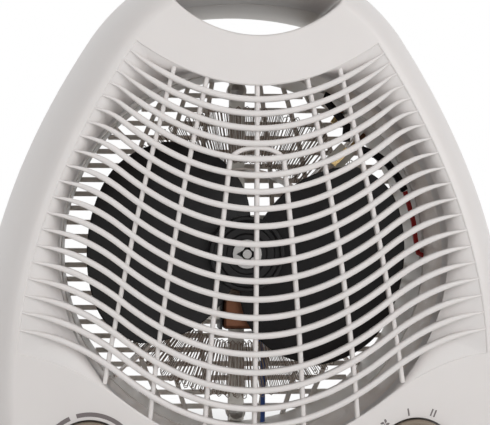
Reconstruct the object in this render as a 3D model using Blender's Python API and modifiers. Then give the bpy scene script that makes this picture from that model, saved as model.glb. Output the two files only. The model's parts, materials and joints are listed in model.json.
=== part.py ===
"""Fan heater: a two-bladed fan, a wound heating ring and two dials in a moulded housing.

Metres, +Z up.  The heater stands on z = 0, its front faces -Y, and the origin
lies under the middle of the body.
"""
import math

import bmesh
import bpy
import numpy as np
from mathutils import Matrix, Vector

MM = 0.001

# Clearances
FIT = 0.3 * MM                  # between pieces that seat on each other
RUN = 0.5 * MM                  # round a turning shaft

# Air duct; the fan, the grilles and the housing take their size and place from it
DUCT_RADIUS = 80.5 * MM
DUCT_SIDE = 36.5 * MM           # from the duct to the body's side at its widest
DUCT_FLOOR = 41.5 * MM          # from the duct to the table
DUCT_HOLE = 9.7 * MM            # from the duct to the handle opening
DUCT_Z = DUCT_RADIUS + DUCT_FLOOR
DUCT_TOP_Z = DUCT_Z + DUCT_RADIUS
DISH_DEPTH = 20 * MM            # from the face to the lip of the duct
LIP = 1.5 * MM
DUCT_WALL = 2 * MM
LINER_WALL = 0.7 * MM

# Handle opening
FINGER_ROOM = 20.8 * MM
HOLE_LOW_Z = DUCT_TOP_Z + DUCT_HOLE
HOLE_HIGH_Z = HOLE_LOW_Z + FINGER_ROOM
HOLE_LOW_ARC = 48.5 * MM
HOLE_HIGH_ARC = 140 * MM
HOLE_CORNER = 4 * MM

# Housing outline, seen from the front
HALF_WIDTH = DUCT_RADIUS + DUCT_SIDE
WIDEST_DROP = 54 * MM           # the body is widest this far below the duct's axis
WIDEST_Z = DUCT_Z - WIDEST_DROP
GRIP_HEIGHT = 20 * MM
TOP_Z = HOLE_HIGH_Z + GRIP_HEIGHT
GRIP_ARC = 82 * MM              # radius of the arch over the grip
SHOULDER = math.radians(56)     # the arch ends here and the side begins
BASE_Z = 3 * MM                 # underside of the housing; the feet fill the rest
BASE_CORNER = 14 * MM
WALL = 2.4 * MM

# Housing depth
FRONT_Y = -59 * MM              # front of the grille bars
BACK_Y = 59 * MM
PARTING_Y = 4 * MM              # where the two shells meet
FRONT_DRAFT = 4 * MM
FRONT_ROUND = 15 * MM
REAR_DRAFT = 3 * MM
REAR_ROUND = 12 * MM
BASE_EDGE = 7 * MM              # lift of the base's front and rear edge
BASE_FLAT = 0.72                # share of each shell's depth that stays flat below
FACE_TURN_RISE = 28 * MM        # above the duct's axis; below this height the face falls back
FACE_TURN_Z = DUCT_Z + FACE_TURN_RISE
FACE_FALL = 0.8                 # 1/m, fall of the face below that height
FACE_BOW = 0.4                  # 1/m, bow of the face from side to side

# Front grille
BAR_DROP = 16.5 * MM            # from the top of the duct to the first bar
BAR_TOP_Z = DUCT_TOP_Z - BAR_DROP
BAR_PITCH_TOP = 5.8 * MM
BAR_PITCH = 7.5 * MM
BAR_OPENING_ROWS = 9            # rows over which the pitch opens
BAR_SAG = 7.25                  # 1/m, how the bars hang in the middle
BAR_EASE_X = 54.5 * MM          # past this distance the bars level out
BAR_TIP_SLOPE = 0.1             # rise of a bar at its tip
BAR_HEIGHT = 2.4 * MM
BAR_DEPTH = 4.6 * MM
BAR_PROUD = 0.5 * MM            # bars stand this far before the face
BAR_BURY = 1.5 * MM             # bars and ribs run this far into the shell
TIP_HEIGHT = 0.7 * MM
TIP_LENGTH = 14 * MM
GRILLE_INSET = 20 * MM          # from the outline to the tips of the bars
GRILLE_MARGIN_TOP = 5.6 * MM    # from the first bar to the upper panel
GRILLE_MARGIN_LOW = 10 * MM
RIB_WIDTH = 1.9 * MM
RIB_DEPTH = 4.2 * MM
RIB_SETBACK = 1.8 * MM          # ribs stand this far behind the front of the bars
RIB_TOP_X = (7.3 * MM, 21.2 * MM, 35.8 * MM)
RIB_LOW_X = (21 * MM, 44.1 * MM, 65.7 * MM)
RIB_BOW = (1.5 * MM, 2.7 * MM, 2.3 * MM)
RIB_ARCH_DROP = 19.6 * MM       # from the first bar to the arch that closes the inner ribs
RIB_ARCH_Z = BAR_TOP_Z - RIB_ARCH_DROP
RIB_ARCH_HEIGHT = 6 * MM

# Rear grille
REAR_RECESS = 4 * MM
REAR_BAR_PITCH = 6.7 * MM
REAR_BAR_HEIGHT = 2.4 * MM
REAR_BAR_DEPTH = 2.6 * MM
REAR_SPINE_WIDTH = 6.6 * MM
REAR_RIB_WIDTH = 2.2 * MM
REAR_RIB_X = (38 * MM,)
REAR_RIB_PINCH = 0.62           # a rear rib's distance at its ends, as a share of its middle

# Fan
FAN_GAP = 11 * MM               # from the blades to the duct
FAN_RADIUS = DUCT_RADIUS - FAN_GAP
FAN_HUB_RADIUS = 16.5 * MM
FAN_HUB_FRONT_Y = -13 * MM
FAN_HUB_LENGTH = 14 * MM
FAN_AXIAL = 17 * MM             # depth swept by the blade at the rim
FAN_ROOT_AXIAL = 11 * MM
BLADE_THICKNESS = 1.6 * MM
BLADE_CAMBER = 3 * MM
BLADE_LEAD = math.radians(82)   # leading edge at the hub, from +X
BLADE_LEAD_SWEEP = (0.62, 0.0085)
BLADE_TRAIL = math.radians(246)
BLADE_TRAIL_SWEEP = (0.42, 0.0042)

# Heating ring
WIRE_RADIUS = 0.4 * MM
CORE_RADIUS = 38.2 * MM
WIRE_GAP = 14.5 * MM            # from the folds to the duct
WIRE_CORE_GAP = 2.8 * MM        # from the folds to the core
WIRE_OUTER = DUCT_RADIUS - WIRE_GAP
WIRE_INNER = CORE_RADIUS + WIRE_CORE_GAP
WIRE_TURNS = 2
WIRE_FOLDS = 44                 # hairpins in each turn
WIRE_FRONT_Y = 12 * MM
WIRE_TURN_PITCH = 11 * MM
CORE_FRONT_Y = 9 * MM
CORE_DEPTH = 28 * MM
MICA = 0.8 * MM
VANE_COUNT = 4

# Motor
SHAFT_RADIUS = 2 * MM
ROTOR_RADIUS = 9.6 * MM
AIR_GAP = 0.6 * MM
STACK_FRONT_Y = 14 * MM
STACK_DEPTH = 14 * MM
STACK_HALF_WIDTH = 18 * MM
STACK_TOP = 17 * MM
STACK_ROOM = 8.2 * MM           # from the stack's lower bar to the heater's core
STACK_LOW = CORE_RADIUS - STACK_ROOM
STACK_LIMB = 7 * MM
COIL_LENGTH = 20 * MM
COIL_BUILD = 4.4 * MM
BRACKET_THICKNESS = 1.2 * MM
BRACKET_WIDTH = 12 * MM
BRACKET_REACH = 6 * MM          # from the stack to each bearing bracket
BEARING_RADIUS = 5 * MM
BEARING_LENGTH = 6 * MM
MOTOR_SCREW_RADIUS = 1.5 * MM

# Strap that carries the motor
STRAP_WIDTH = 7 * MM
STRAP_THICKNESS = 1.5 * MM

# Dials
DIAL_EDGE = 47.5 * MM           # from the side of the body to a dial's axis
DIAL_Z = 38 * MM
DIAL_SEAT_DEPTH = 3 * MM
KNOB_RADIUS = 16.5 * MM
KNOB_HEIGHT = 13 * MM
KNOB_GRIP_WIDTH = 8 * MM
SEAT_CLEARANCE = 0.8 * MM
SPINDLE_RADIUS = 3 * MM

# Fixings and feet
POST_RADIUS = 5.2 * MM
SCREW_RADIUS = 1.6 * MM
SCREW_HEAD_RADIUS = 3.3 * MM
SCREW_HEAD_HEIGHT = 2.2 * MM
SCREW_LENGTH = 18 * MM
POST_TOP_X = 50 * MM
POST_TOP_DROP = 5.2 * MM        # below the handle opening
POST_TOP = (POST_TOP_X, HOLE_LOW_Z - POST_TOP_DROP)
POST_LOW_EDGE = 21 * MM
POST_LOW_Z = 27 * MM
FOOT_RADIUS = 7 * MM
FOOT_EDGE = 42 * MM
FOOT_FRONT_Y = -24 * MM
FOOT_REAR_Y = 34 * MM
FOOT_STEM = 2.8 * MM
SCREW_GRIP = 6 * MM             # rear shell under each screw head
BUSH_RADIUS = 4.6 * MM
LENS_RADIUS = 4 * MM
LENS_Z = 27 * MM

# Edges of the grille
TIP_SINK = 0.4 * MM
TIP_DEPTH = 2 * MM
RIM_SET = 0.4 * MM              # the dish starts this far behind the face
RIM_GRIP = 1.2 * MM
DISH_WAIST = (0.42, 0.72)       # shares of the dish's width and depth at its bend

# Details of the rear shell
REAR_RIB_DEPTH = 1.8 * MM
REAR_LAP = 0.6 * MM             # rear bars and ribs are moulded into each other
CARRIER_LAP = 1 * MM            # of the strap past the stack
CARRIER_BOSS_HEIGHT = 6 * MM
CARRIER_BOSS_RADIUS = 4.5 * MM
GLAND_X = 45 * MM
GLAND_Z = 22 * MM
GLAND_RADIUS = 5 * MM

# Leads
LEAD_RADIUS = 1.2 * MM
LEAD_STEP = 7.2 * MM            # three diameters between the points of a lead
WALL_NOTCHES = (62, -1)         # degrees, where leads pass the duct's wall
NOTCH_WIDTH = 7 * MM
NOTCH_DEPTH = 7 * MM

# Details of the fan, the motor and the heating ring
HUB_WALL = 2 * MM
HUB_DISH = 3 * MM
HUB_BOSS = 6.3 * MM
BLADE_CORNER = 9 * MM
BLADE_ROOT = 1.2 * MM
CLIP_THICKNESS = 0.8 * MM
CLIP_STAR = 4.8 * MM
STACK_CHAMFER = 3 * MM
POLE_WALL = 3 * MM
BOBBIN_WALL = 0.8 * MM
BEARING_SEAT = 4 * MM
PILLAR_RADIUS = 3.1 * MM
WIRE_START = 2
TAIL_REACH = 5 * MM             # of the wire past its folds
WIRE_TAIL = WIRE_OUTER + TAIL_REACH
FOLD_TIP = 0.2                  # half widths of a hairpin, as shares of its pitch
FOLD_NECK = 0.3
VANE_LAP = 0.5 * MM
CRIMP_LENGTH = 5 * MM
CRIMP_RADIUS = 1.3 * MM
VANE_MARGIN = 3 * MM
VANE_TAB = 13 * MM
WINDOW = 1.2 * MM

# Thermal protection
CUTOUT_LENGTH = 10 * MM
CUTOUT_RADII = (WIRE_OUTER - CUTOUT_LENGTH, WIRE_OUTER)
CUTOUT_HALF = 4 * MM
CUTOUT_DEPTH = 3.1 * MM
STRIP = 0.7 * MM
FUSE_RADIUS = 2.1 * MM
SLEEVE_RADIUS = 1.9 * MM

# Dial fittings
KNOB_DEPTH = 8 * MM             # without the grip
KNOB_WALL = 2 * MM
KNOB_CHAMFER = (1 * MM, 1.5 * MM)
GRIP_TAPER = (0.8, 0.96)        # across and along the grip, at its top
SPINDLE_LENGTH = 12 * MM
SWITCH_RADIUS = 13.5 * MM
SWITCH_DEPTH = 16 * MM
STAT_PLATE = 1.2 * MM
STAT_HALF_WIDTH = 11 * MM
STAT_HALF_HEIGHT = 12 * MM
STAT_DISC = 3 * MM
STAT_STACK = 3.5 * MM
STAT_GROOVE = 0.6 * MM
LEAF_ENDS = (1 * MM, 2 * MM)    # from the plate's low and high edge
STAT_DEPTH = 11.6 * MM            # from the seat to the tab's root
NUT_REACH = 2.8 * MM
NUT_THICK = 2.2 * MM
DIAL_NUT_RADIUS = 6.6 * MM
TAB = 0.8 * MM
TAB_HALF = 2.5 * MM
TAB_LENGTH = 8 * MM
TAB_SPREAD = 8 * MM
CONNECTOR_WALL = 0.8 * MM
CONNECTOR_NECK = 1.5 * MM
LEAD_RUN_IN = 8 * MM

# Small parts
FOOT_HEAD = 2.6 * MM
FOOT_BARB = 1 * MM
FOOT_BEVEL = 0.6 * MM
LENS_DOME = 0.9 * MM
LENS_SKIN = 1 * MM              # wall of the lens, and reach of its catch
LAMP_TIP = ((0.7, 0.6 * MM), (1.0, 2 * MM))     # share of the radius, and depth
LAMP_RADIUS = 2.5 * MM
LAMP_LENGTH = 12 * MM
GLAND_BORE = 3.7 * MM
GLAND_BODY = 10 * MM
GLAND_FLANGE = (2.5 * MM, 2 * MM)       # its reach and thickness

# Routes of the leads: degrees round the duct, distance from its wall and y in mm
FUSE_ROUTE = [(47.5, -12.5, 6.3), (48.5, -9, 6.5), (52.5, -6, 7), (58, -4.5, 7.4), (61.4, -2.9, 7.7),
              (62, 1, 7.8), (62, 5, 8)]
FUSE_LEAD_ROUTE = [(62, 6.1, 8.2), (61.5, 8, 10)]
BLACK_ROUTE = [(55, 12.5, 20), (35, 14.5, 22), (10, 16.5, 22), (-15, 18.5, 22), (-40, 19.5, 20),
               (-62, 22.5, 18), (-90, 23.5, 16), (-118, 22.5, 12), (-126, 20.5, 0)]
RED_SLEEVE_ROUTE = [(41.5, -10, 6.4), (37, -6.5, 6.5), (30, -3.5, 6.5), (21.25, -2.55, 6.6)]
RED_ROUTE = [(21, -2.5, 6.6), (10, -2.3, 7), (2.5, -2.3, 7.5), (-0.5, -0.7, 7.8), (-1.4, 3, 7.9),
             (-4, 7.5, 7.6),
             (-16, 15.5, 4), (-30, 20.5, -1), (-39, 22.5, -6)]
HEATER_FRONT_ROUTE = [(55.2, 1.5, 12), (54.5, 6.5, 12.2), (46, 11.5, 13), (30, 14.5, 14), (10, 16.5, 14),
                      (-10, 18, 13), (-28, 21.5, 8), (-40, 25.5, -2)]
HEATER_REAR_ROUTE = [(43, 1.5, 33.5), (42, 6.5, 33.5), (34, 11.5, 32.5), (20, 14.5, 31), (0, 16.5, 30),
                     (-20, 18.5, 30), (-35, 23.5, 26), (-45, 27.5, 14)]
HEATER_REAR_END = [(72, 12, 38), (67.5, 2, 31)]     # x, y, z in mm
# The motor's lead: x, y and z in mm, first from the duct's axis, then from its lowest point
MOTOR_LEAD_TOP = [(7, 34.2, -27), (8, 38, -29.5), (10, 39.5, -36), (12, 39.5, -48)]
MOTOR_LEAD_LOW = [(12.1, 39.5, 16.5), (12.1, 39.5, 5.5), (12.1, 39.5, -4), (14, 38, -8),
                  (24, 29, -9.5), (38, 16, -6.5), (50, 0, -4.5)]

# Facets
BLADE_STEPS = 8
BLADE_ROWS = 4
BAR_STEPS = 7
TOP_EDGE_STEPS = 10
LOW_EDGE_STEPS = 14
SIDE_STEPS = 8
ARCH_STEPS = 6
CORNER_STEPS = 3
BASE_STEPS = 3
EDGE_TURNS = (0, 26, 48, 66, 80, 90)    # degrees, rings round the edge of each shell
DUCT_STEPS = 48
REAR_RIB_STEPS = 5

for old in list(bpy.data.objects):
    bpy.data.objects.remove(old, do_unlink=True)

PARTS = bpy.data.collections.new("fan_heater")
TOOLS = bpy.data.collections.new("construction")
bpy.context.scene.collection.children.link(PARTS)
bpy.context.scene.collection.children.link(TOOLS)


# Materials

def material(name, colour, roughness, metallic=0.0):
    mat = bpy.data.materials.new(name)
    mat.use_nodes = True
    shader = mat.node_tree.nodes["Principled BSDF"]
    shader.inputs["Base Color"].default_value = (*colour, 1.0)
    shader.inputs["Roughness"].default_value = roughness
    shader.inputs["Metallic"].default_value = metallic
    return mat


IVORY = material("ivory_shell", (0.72, 0.70, 0.68), 0.42)
BLACK = material("black_plastic", (0.02, 0.02, 0.022), 0.35)
TAUPE = material("taupe_knob", (0.20, 0.16, 0.12), 0.35)
RUBBER = material("rubber", (0.05, 0.05, 0.05), 0.8)
STEEL = material("zinc_steel", (0.56, 0.55, 0.52), 0.35, 1.0)
BRIGHT = material("bright_steel", (0.7, 0.7, 0.7), 0.2, 1.0)
NICHROME = material("heating_alloy", (0.20, 0.15, 0.12), 0.45, 1.0)
BRASS = material("brass", (0.75, 0.55, 0.25), 0.3, 1.0)
COPPER = material("copper", (0.72, 0.36, 0.2), 0.35, 1.0)
MICA_SHEET = material("mica", (0.62, 0.56, 0.47), 0.5)
CERAMIC = material("ceramic", (0.80, 0.77, 0.70), 0.6)
RED = material("red_insulation", (0.50, 0.03, 0.03), 0.4)
BLUE = material("blue_insulation", (0.05, 0.13, 0.45), 0.4)
BROWN = material("brown_insulation", (0.20, 0.09, 0.04), 0.4)
LENS = material("lamp_lens", (0.75, 0.15, 0.05), 0.2)


# Building helpers

def make_object(name, mesh, mat=None, parent=None, tool=False):
    """Link a mesh as a part, or as a construction solid that isn't a part."""
    obj = bpy.data.objects.new(name, mesh)
    (TOOLS if tool else PARTS).objects.link(obj)
    if tool:
        obj.hide_render = True
        obj.display_type = "WIRE"
    if mat:
        obj.data.materials.append(mat)
    obj.parent = parent
    return obj


def axis_empty(name, location):
    empty = bpy.data.objects.new(name, None)
    empty.location = location
    PARTS.objects.link(empty)
    return empty


def finish_mesh(bm, name, smooth_angle=40):
    mesh = bpy.data.meshes.new(name)
    bmesh.ops.recalc_face_normals(bm, faces=bm.faces)
    bm.to_mesh(mesh)
    bm.free()
    mesh.shade_smooth()
    mesh.set_sharp_from_angle(angle=math.radians(smooth_angle))
    return mesh


def combine(base, tool, operation):
    mod = base.modifiers.new(operation.lower() + "_" + tool.name, "BOOLEAN")
    mod.operation = operation
    mod.solver = "EXACT"
    mod.object = tool


def add_box(bm, low, high, turn=None):
    """Box between two corners, turned by a matrix about the world origin."""
    low, high = Vector(low), Vector(high)
    matrix = Matrix.Translation((low + high) / 2) @ Matrix.Diagonal((*(high - low), 1))
    bmesh.ops.create_cube(bm, size=1.0, matrix=(turn or Matrix()) @ matrix)


def add_rod(bm, start, end, radius, segments=20, end_radius=None):
    """Cylinder or cone between two points."""
    start, end = Vector(start), Vector(end)
    along = end - start
    turn = along.to_track_quat("Z", "Y").to_matrix().to_4x4()
    bmesh.ops.create_cone(
        bm, cap_ends=True, segments=segments, radius1=radius,
        radius2=radius if end_radius is None else end_radius,
        depth=along.length, matrix=Matrix.Translation((start + end) / 2) @ turn)


def solid(name, build, mat=None, parent=None, tool=False):
    """Object from a function that fills a bmesh."""
    bm = bmesh.new()
    build(bm)
    return make_object(name, finish_mesh(bm, name), mat, parent, tool)


def fused(name, mat, first, *others, parent=None):
    """One solid from several overlapping ones, each given by a function that fills a bmesh."""
    obj = solid(name, first, mat, parent)
    for number, build in enumerate(others):
        combine(obj, solid(f"{name}_{number}", build, parent=parent, tool=True), "UNION")
    return obj


def cut_away(obj, *builds):
    for number, build in enumerate(builds):
        combine(obj, solid(f"{obj.name}_cut_{number}", build, tool=True), "DIFFERENCE")


def add_loft(bm, rings, closed=False):
    """Skin through rings of equal counts; capped, or joined last ring to first."""
    loops = [[bm.verts.new(p) for p in ring] for ring in rings]
    count = len(loops[0])
    pairs = list(zip(loops, loops[1:]))
    if closed:
        pairs.append((loops[-1], loops[0]))
    for lower, upper in pairs:
        for i in range(count):
            j = (i + 1) % count
            bm.faces.new((lower[i], lower[j], upper[j], upper[i]))
    if not closed:
        bm.faces.new(loops[0])
        bm.faces.new(list(reversed(loops[-1])))
    return loops


def add_prism(bm, outline, front_y, back_y):
    """Solid between two depths with an (x, z) outline."""
    add_loft(bm, [[(x, front_y, z) for x, z in outline],
                  [(x, back_y, z) for x, z in outline]])


def turned(name, profile, mat=None, parent=None, location=(0, 0, 0), steps=32,
           facing="front", tool=False):
    """Turn a (radius, height) profile about an axis that points to the front or up."""
    mesh = bpy.data.meshes.new(name)
    closed = profile[0][0] > 1e-9
    count = len(profile)
    edges = [(i, i + 1) for i in range(count - 1)]
    if closed:
        edges.append((count - 1, 0))
    mesh.from_pydata([(r, 0, h) for r, h in profile], edges, [])
    obj = make_object(name, mesh, mat, parent, tool)
    obj.location = location
    if facing == "front":
        obj.rotation_euler = (math.pi / 2, 0, 0)
    screw = obj.modifiers.new("turn", "SCREW")
    screw.steps = steps
    screw.render_steps = steps
    screw.use_merge_vertices = True
    screw.merge_threshold = 0.00001
    screw.use_smooth_shade = True
    return obj


def smooth_route(points, step):
    """Evenly spaced points on a smooth curve through the given ones."""
    pts = [np.array(p, float) for p in points]
    pts = [2 * pts[0] - pts[1]] + pts + [2 * pts[-1] - pts[-2]]
    fine = []
    for a, b, c, d in zip(pts, pts[1:], pts[2:], pts[3:]):
        for t in np.linspace(0, 1, 24, endpoint=False):
            fine.append(0.5 * (2 * b + (c - a) * t + (2 * a - 5 * b + 4 * c - d) * t ** 2
                               + (3 * b - a - 3 * c + d) * t ** 3))
    fine.append(pts[-2])
    fine = np.array(fine)
    run = np.r_[0, np.cumsum(np.linalg.norm(np.diff(fine, axis=0), axis=1))]
    marks = np.linspace(0, run[-1], max(3, int(round(run[-1] / step)) + 1))
    return np.stack([np.interp(marks, run, fine[:, k]) for k in range(3)], 1)


def tube(name, points, radius, mat, parent=None, resolution=1):
    """Round wire or sleeve along a list of points."""
    curve = bpy.data.curves.new(name, "CURVE")
    curve.dimensions = "3D"
    curve.bevel_depth = radius
    curve.bevel_resolution = resolution
    curve.use_fill_caps = True
    spline = curve.splines.new("POLY")
    spline.points.add(len(points) - 1)
    for point, place in zip(spline.points, points):
        point.co = (*place, 1)
    obj = bpy.data.objects.new(name, curve)
    PARTS.objects.link(obj)
    curve.materials.append(mat)
    obj.parent = parent
    return obj


# Shape of the housing

ARCH_CENTRE_Z = TOP_Z - GRIP_ARC
ARCH_END_X = GRIP_ARC * math.sin(SHOULDER)
ARCH_END_Z = ARCH_CENTRE_Z + GRIP_ARC * math.cos(SHOULDER)
SIDE_BOW = (HALF_WIDTH - ARCH_END_X) / (ARCH_END_Z - WIDEST_Z) ** 2
FACE_Y = FRONT_Y + BAR_PROUD


def side_x(z):
    """Half width of the outline at a height, below the arch."""
    return HALF_WIDTH - SIDE_BOW * (z - WIDEST_Z) ** 2


def side_normal(z):
    slope = 2 * SIDE_BOW * (z - WIDEST_Z)
    length = math.hypot(1, slope)
    return 1 / length, slope / length


def face_y(x, z):
    """Depth of the front face."""
    return FACE_Y + FACE_BOW * x * x + FACE_FALL * max(0.0, FACE_TURN_Z - z) ** 2


def half_outline(inset, lift):
    """Right half of the outline from the middle of the base to the top."""
    corner_z = BASE_Z + BASE_CORNER
    wide = side_x(corner_z)
    squeeze = 1 - inset / wide
    points = [((wide - BASE_CORNER) * squeeze * i / BASE_STEPS, BASE_Z + lift)
              for i in range(BASE_STEPS + 1)]
    for i in range(1, CORNER_STEPS):
        turn = math.pi / 2 * i / CORNER_STEPS
        x = wide - BASE_CORNER * (1 - math.sin(turn))
        z = corner_z - BASE_CORNER * math.cos(turn)
        points.append((x * squeeze, z + lift * math.cos(turn)))
    for i in range(SIDE_STEPS):
        z = corner_z + (ARCH_END_Z - corner_z) * i / SIDE_STEPS
        nx, nz = side_normal(z)
        points.append((side_x(z) - inset * nx, z - inset * nz))
    for i in range(ARCH_STEPS + 1):
        turn = SHOULDER * (1 - i / ARCH_STEPS)
        radius = GRIP_ARC - inset
        points.append((radius * math.sin(turn), ARCH_CENTRE_Z + radius * math.cos(turn)))
    return points


def shell_rings(parting, end_depth, draft, rounding, shrink=0.0):
    """Half outlines from the parting line to the face of a shell, with their depths."""
    rings = []
    for turn in EDGE_TURNS:
        angle = math.radians(turn)
        share = math.sin(angle)
        inset = draft * share + rounding * (1 - math.cos(angle)) + shrink
        lift = BASE_EDGE * max(0.0, (share - BASE_FLAT) / (1 - BASE_FLAT)) ** 2 + shrink
        ring = []
        for x, z in half_outline(inset, lift):
            end = end_depth(x, z)
            end += shrink if end < parting else -shrink
            ring.append((x, parting + (end - parting) * share, z))
        rings.append(ring)
    return rings


def add_shell_surface(bm, rings, end_depth, shrink=0.0, close=False):
    """Side wall and face of a shell, as an open surface or a closed block."""
    loops = []
    for ring in rings:
        right = [bm.verts.new(p) for p in ring]
        left = [bm.verts.new((-p[0], p[1], p[2])) for p in ring[1:-1]]
        loops.append(right + left[::-1])
    count = len(loops[0])
    for lower, upper in zip(loops, loops[1:]):
        for i in range(count):
            j = (i + 1) % count
            bm.faces.new((lower[i], lower[j], upper[j], upper[i]))
    face = loops[-1]
    half = len(rings[-1])
    columns = 2 * BASE_STEPS
    row = [face[-k] if k else face[0] for k in range(BASE_STEPS, 0, -1)]
    row += [face[k] for k in range(BASE_STEPS + 1)]
    for i in range(BASE_STEPS + 1, half - 1):
        right, left = face[i], face[-i]
        following = [left]
        for k in range(1, columns):
            x = left.co.x + (right.co.x - left.co.x) * k / columns
            y = end_depth(x, right.co.z)
            y += shrink if y < rings[0][0][1] else -shrink
            following.append(bm.verts.new((x, y, right.co.z)))
        following.append(right)
        for k in range(columns):
            bm.faces.new((row[k], row[k + 1], following[k + 1], following[k]))
        row = following
    top = face[half - 1]
    for k in range(columns):
        bm.faces.new((row[k], row[k + 1], top))
    if close:
        bm.faces.new(loops[0])


def shell(name, mat, parting, end_depth, draft, rounding):
    """Moulded shell, trimmed flat where it meets the other one."""
    rings = shell_rings(parting, end_depth, draft, rounding)
    beyond = math.copysign(WALL, parting - rings[-1][0][1])
    rings.insert(0, [(x, y + beyond, z) for x, y, z in rings[0]])
    obj = solid(name, lambda bm: add_shell_surface(bm, rings, end_depth), mat)
    wall = obj.modifiers.new("wall", "SOLIDIFY")
    wall.thickness = WALL
    wall.offset = -1
    wall.use_even_offset = True
    ends = sorted((parting, parting + 4 * beyond))
    cut_away(obj, lambda bm: add_box(bm, (-TOP_Z, ends[0], -WALL), (TOP_Z, ends[1], TOP_Z + WALL)))
    return obj


def shell_core(name, parting, end_depth, draft, rounding):
    """Closed block that ends in the middle of a shell's wall and trims what is inside it."""
    inner = WALL / 2
    rings = shell_rings(parting, end_depth, draft, rounding, inner)
    beyond = math.copysign(WALL, parting - rings[-1][0][1])
    rings.insert(0, [(x, y + beyond, z) for x, y, z in rings[0]])
    return solid(name, lambda bm: add_shell_surface(bm, rings, end_depth, inner, True),
                 tool=True)


def hole_outline(grow=0.0):
    """Outline of the finger opening under the grip."""
    low_centre = HOLE_LOW_Z + HOLE_LOW_ARC
    high_centre = HOLE_HIGH_Z - HOLE_HIGH_ARC
    gap = low_centre - high_centre
    level = (gap ** 2 + HOLE_LOW_ARC ** 2 - HOLE_HIGH_ARC ** 2) / (2 * gap)
    low_end = math.acos(level / HOLE_LOW_ARC)
    high_end = math.asin(HOLE_LOW_ARC * math.sin(low_end) / HOLE_HIGH_ARC)
    trim = HOLE_CORNER / HOLE_LOW_ARC
    points = []
    for i in range(13):
        turn = (low_end - trim) * (2 * i / 12 - 1)
        radius = HOLE_LOW_ARC + grow
        points.append((radius * math.sin(turn), low_centre - radius * math.cos(turn)))
    trim = HOLE_CORNER / HOLE_HIGH_ARC
    for i in range(9):
        turn = (high_end - trim) * (1 - 2 * i / 8)
        radius = HOLE_HIGH_ARC + grow
        points.append((radius * math.sin(turn), high_centre + radius * math.cos(turn)))
    return points


# Shape of the front grille

def bar_heights():
    """Heights in the middle: the upper panel's edge, each bar and the lower panel's edge."""
    bars = [BAR_TOP_Z]
    while bars[-1] >= DUCT_Z - DUCT_RADIUS + GRILLE_MARGIN_LOW:
        opening = min(1.0, (len(bars) - 1) / BAR_OPENING_ROWS)
        bars.append(bars[-1] - (BAR_PITCH_TOP + (BAR_PITCH - BAR_PITCH_TOP) * opening))
    bars.pop()
    return [BAR_TOP_Z + GRILLE_MARGIN_TOP, *bars, bars[-1] - GRILLE_MARGIN_LOW]


BAR_HEIGHTS = bar_heights()
BAR_COUNT = len(BAR_HEIGHTS) - 2


def grille_side_x(z):
    """Half width of the grille at a height."""
    source = z
    for _ in range(12):
        source = z + GRILLE_INSET * side_normal(source)[1]
    return side_x(source) - GRILLE_INSET * side_normal(source)[0]


def bar_z(row, x, tip):
    """Height of a bar at a distance from the middle, for a tip at a given distance."""
    x = abs(x)
    bend = min(x, BAR_EASE_X)
    rise = BAR_SAG * bend * bend
    if x > BAR_EASE_X:
        past = x - BAR_EASE_X
        slope = 2 * BAR_SAG * BAR_EASE_X
        length = max(tip - BAR_EASE_X, past)
        rise += slope * past + (BAR_TIP_SLOPE - slope) * past * past / (2 * length)
    return BAR_HEIGHTS[row] + rise


def bar_tip(row):
    """Distance from the middle at which a bar meets the edge of the grille."""
    low, high = 0.0, HALF_WIDTH
    for _ in range(40):
        tip = (low + high) / 2
        if tip < grille_side_x(bar_z(row, tip, tip)):
            low = tip
        else:
            high = tip
    return low


def grille_outline():
    """Edge of the grille: the panels' edges and the sides, clockwise from the left."""
    top, low = bar_tip(0), bar_tip(BAR_COUNT + 1)
    points = []
    for i in range(TOP_EDGE_STEPS + 1):
        x = top * (2 * i / TOP_EDGE_STEPS - 1)
        points.append((x, bar_z(0, x, top)))
    z_top = bar_z(0, top, top)
    z_low = bar_z(BAR_COUNT + 1, low, low)
    side = [(grille_side_x(z), z) for z in np.linspace(z_top, z_low, 9)[1:-1]]
    points += side
    for i in range(LOW_EDGE_STEPS + 1):
        x = low * (1 - 2 * i / LOW_EDGE_STEPS)
        points.append((x, bar_z(BAR_COUNT + 1, x, low)))
    points += [(-x, z) for x, z in reversed(side)]
    return points


def add_bar(bm, path, heights, depths):
    """Bar of a box section along (x, y, z) points; y is the depth of its front."""
    rings = []
    for i, (x, y, z) in enumerate(path):
        x0, _, z0 = path[max(0, i - 1)]
        x1, _, z1 = path[min(len(path) - 1, i + 1)]
        length = math.hypot(x1 - x0, z1 - z0)
        nx, nz = -(z1 - z0) / length, (x1 - x0) / length
        half = heights[i] / 2
        back = y + depths[i]
        rings.append([(x + nx * half, y, z + nz * half), (x + nx * half, back, z + nz * half),
                      (x - nx * half, back, z - nz * half), (x - nx * half, y, z - nz * half)])
    add_loft(bm, rings)


def add_grille_bars(bm):
    for row in range(1, BAR_COUNT + 1):
        tip = bar_tip(row)
        path, heights, depths = [], [], []
        for i in range(BAR_STEPS + 1):
            x = (tip + BAR_BURY) * (2 * i / BAR_STEPS - 1)
            z = bar_z(row, x, tip)
            taper = min(1.0, max(0.0, (abs(x) - tip + TIP_LENGTH) / TIP_LENGTH))
            sink = (BAR_PROUD + TIP_SINK) * taper ** 2
            path.append((x, face_y(x, z) - BAR_PROUD + sink, z))
            heights.append(BAR_HEIGHT + (TIP_HEIGHT - BAR_HEIGHT) * taper)
            depths.append(BAR_DEPTH + (TIP_DEPTH - BAR_DEPTH) * taper)
        add_bar(bm, path, heights, depths)


def rib_x(index, z):
    """Distance of a rib from the middle at a height."""
    top, low = BAR_HEIGHTS[0], BAR_HEIGHTS[-1]
    share = (top - z) / (top - low)
    return (RIB_TOP_X[index] + (RIB_LOW_X[index] - RIB_TOP_X[index]) * share
            + 4 * RIB_BOW[index] * share * (1 - share))


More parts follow.
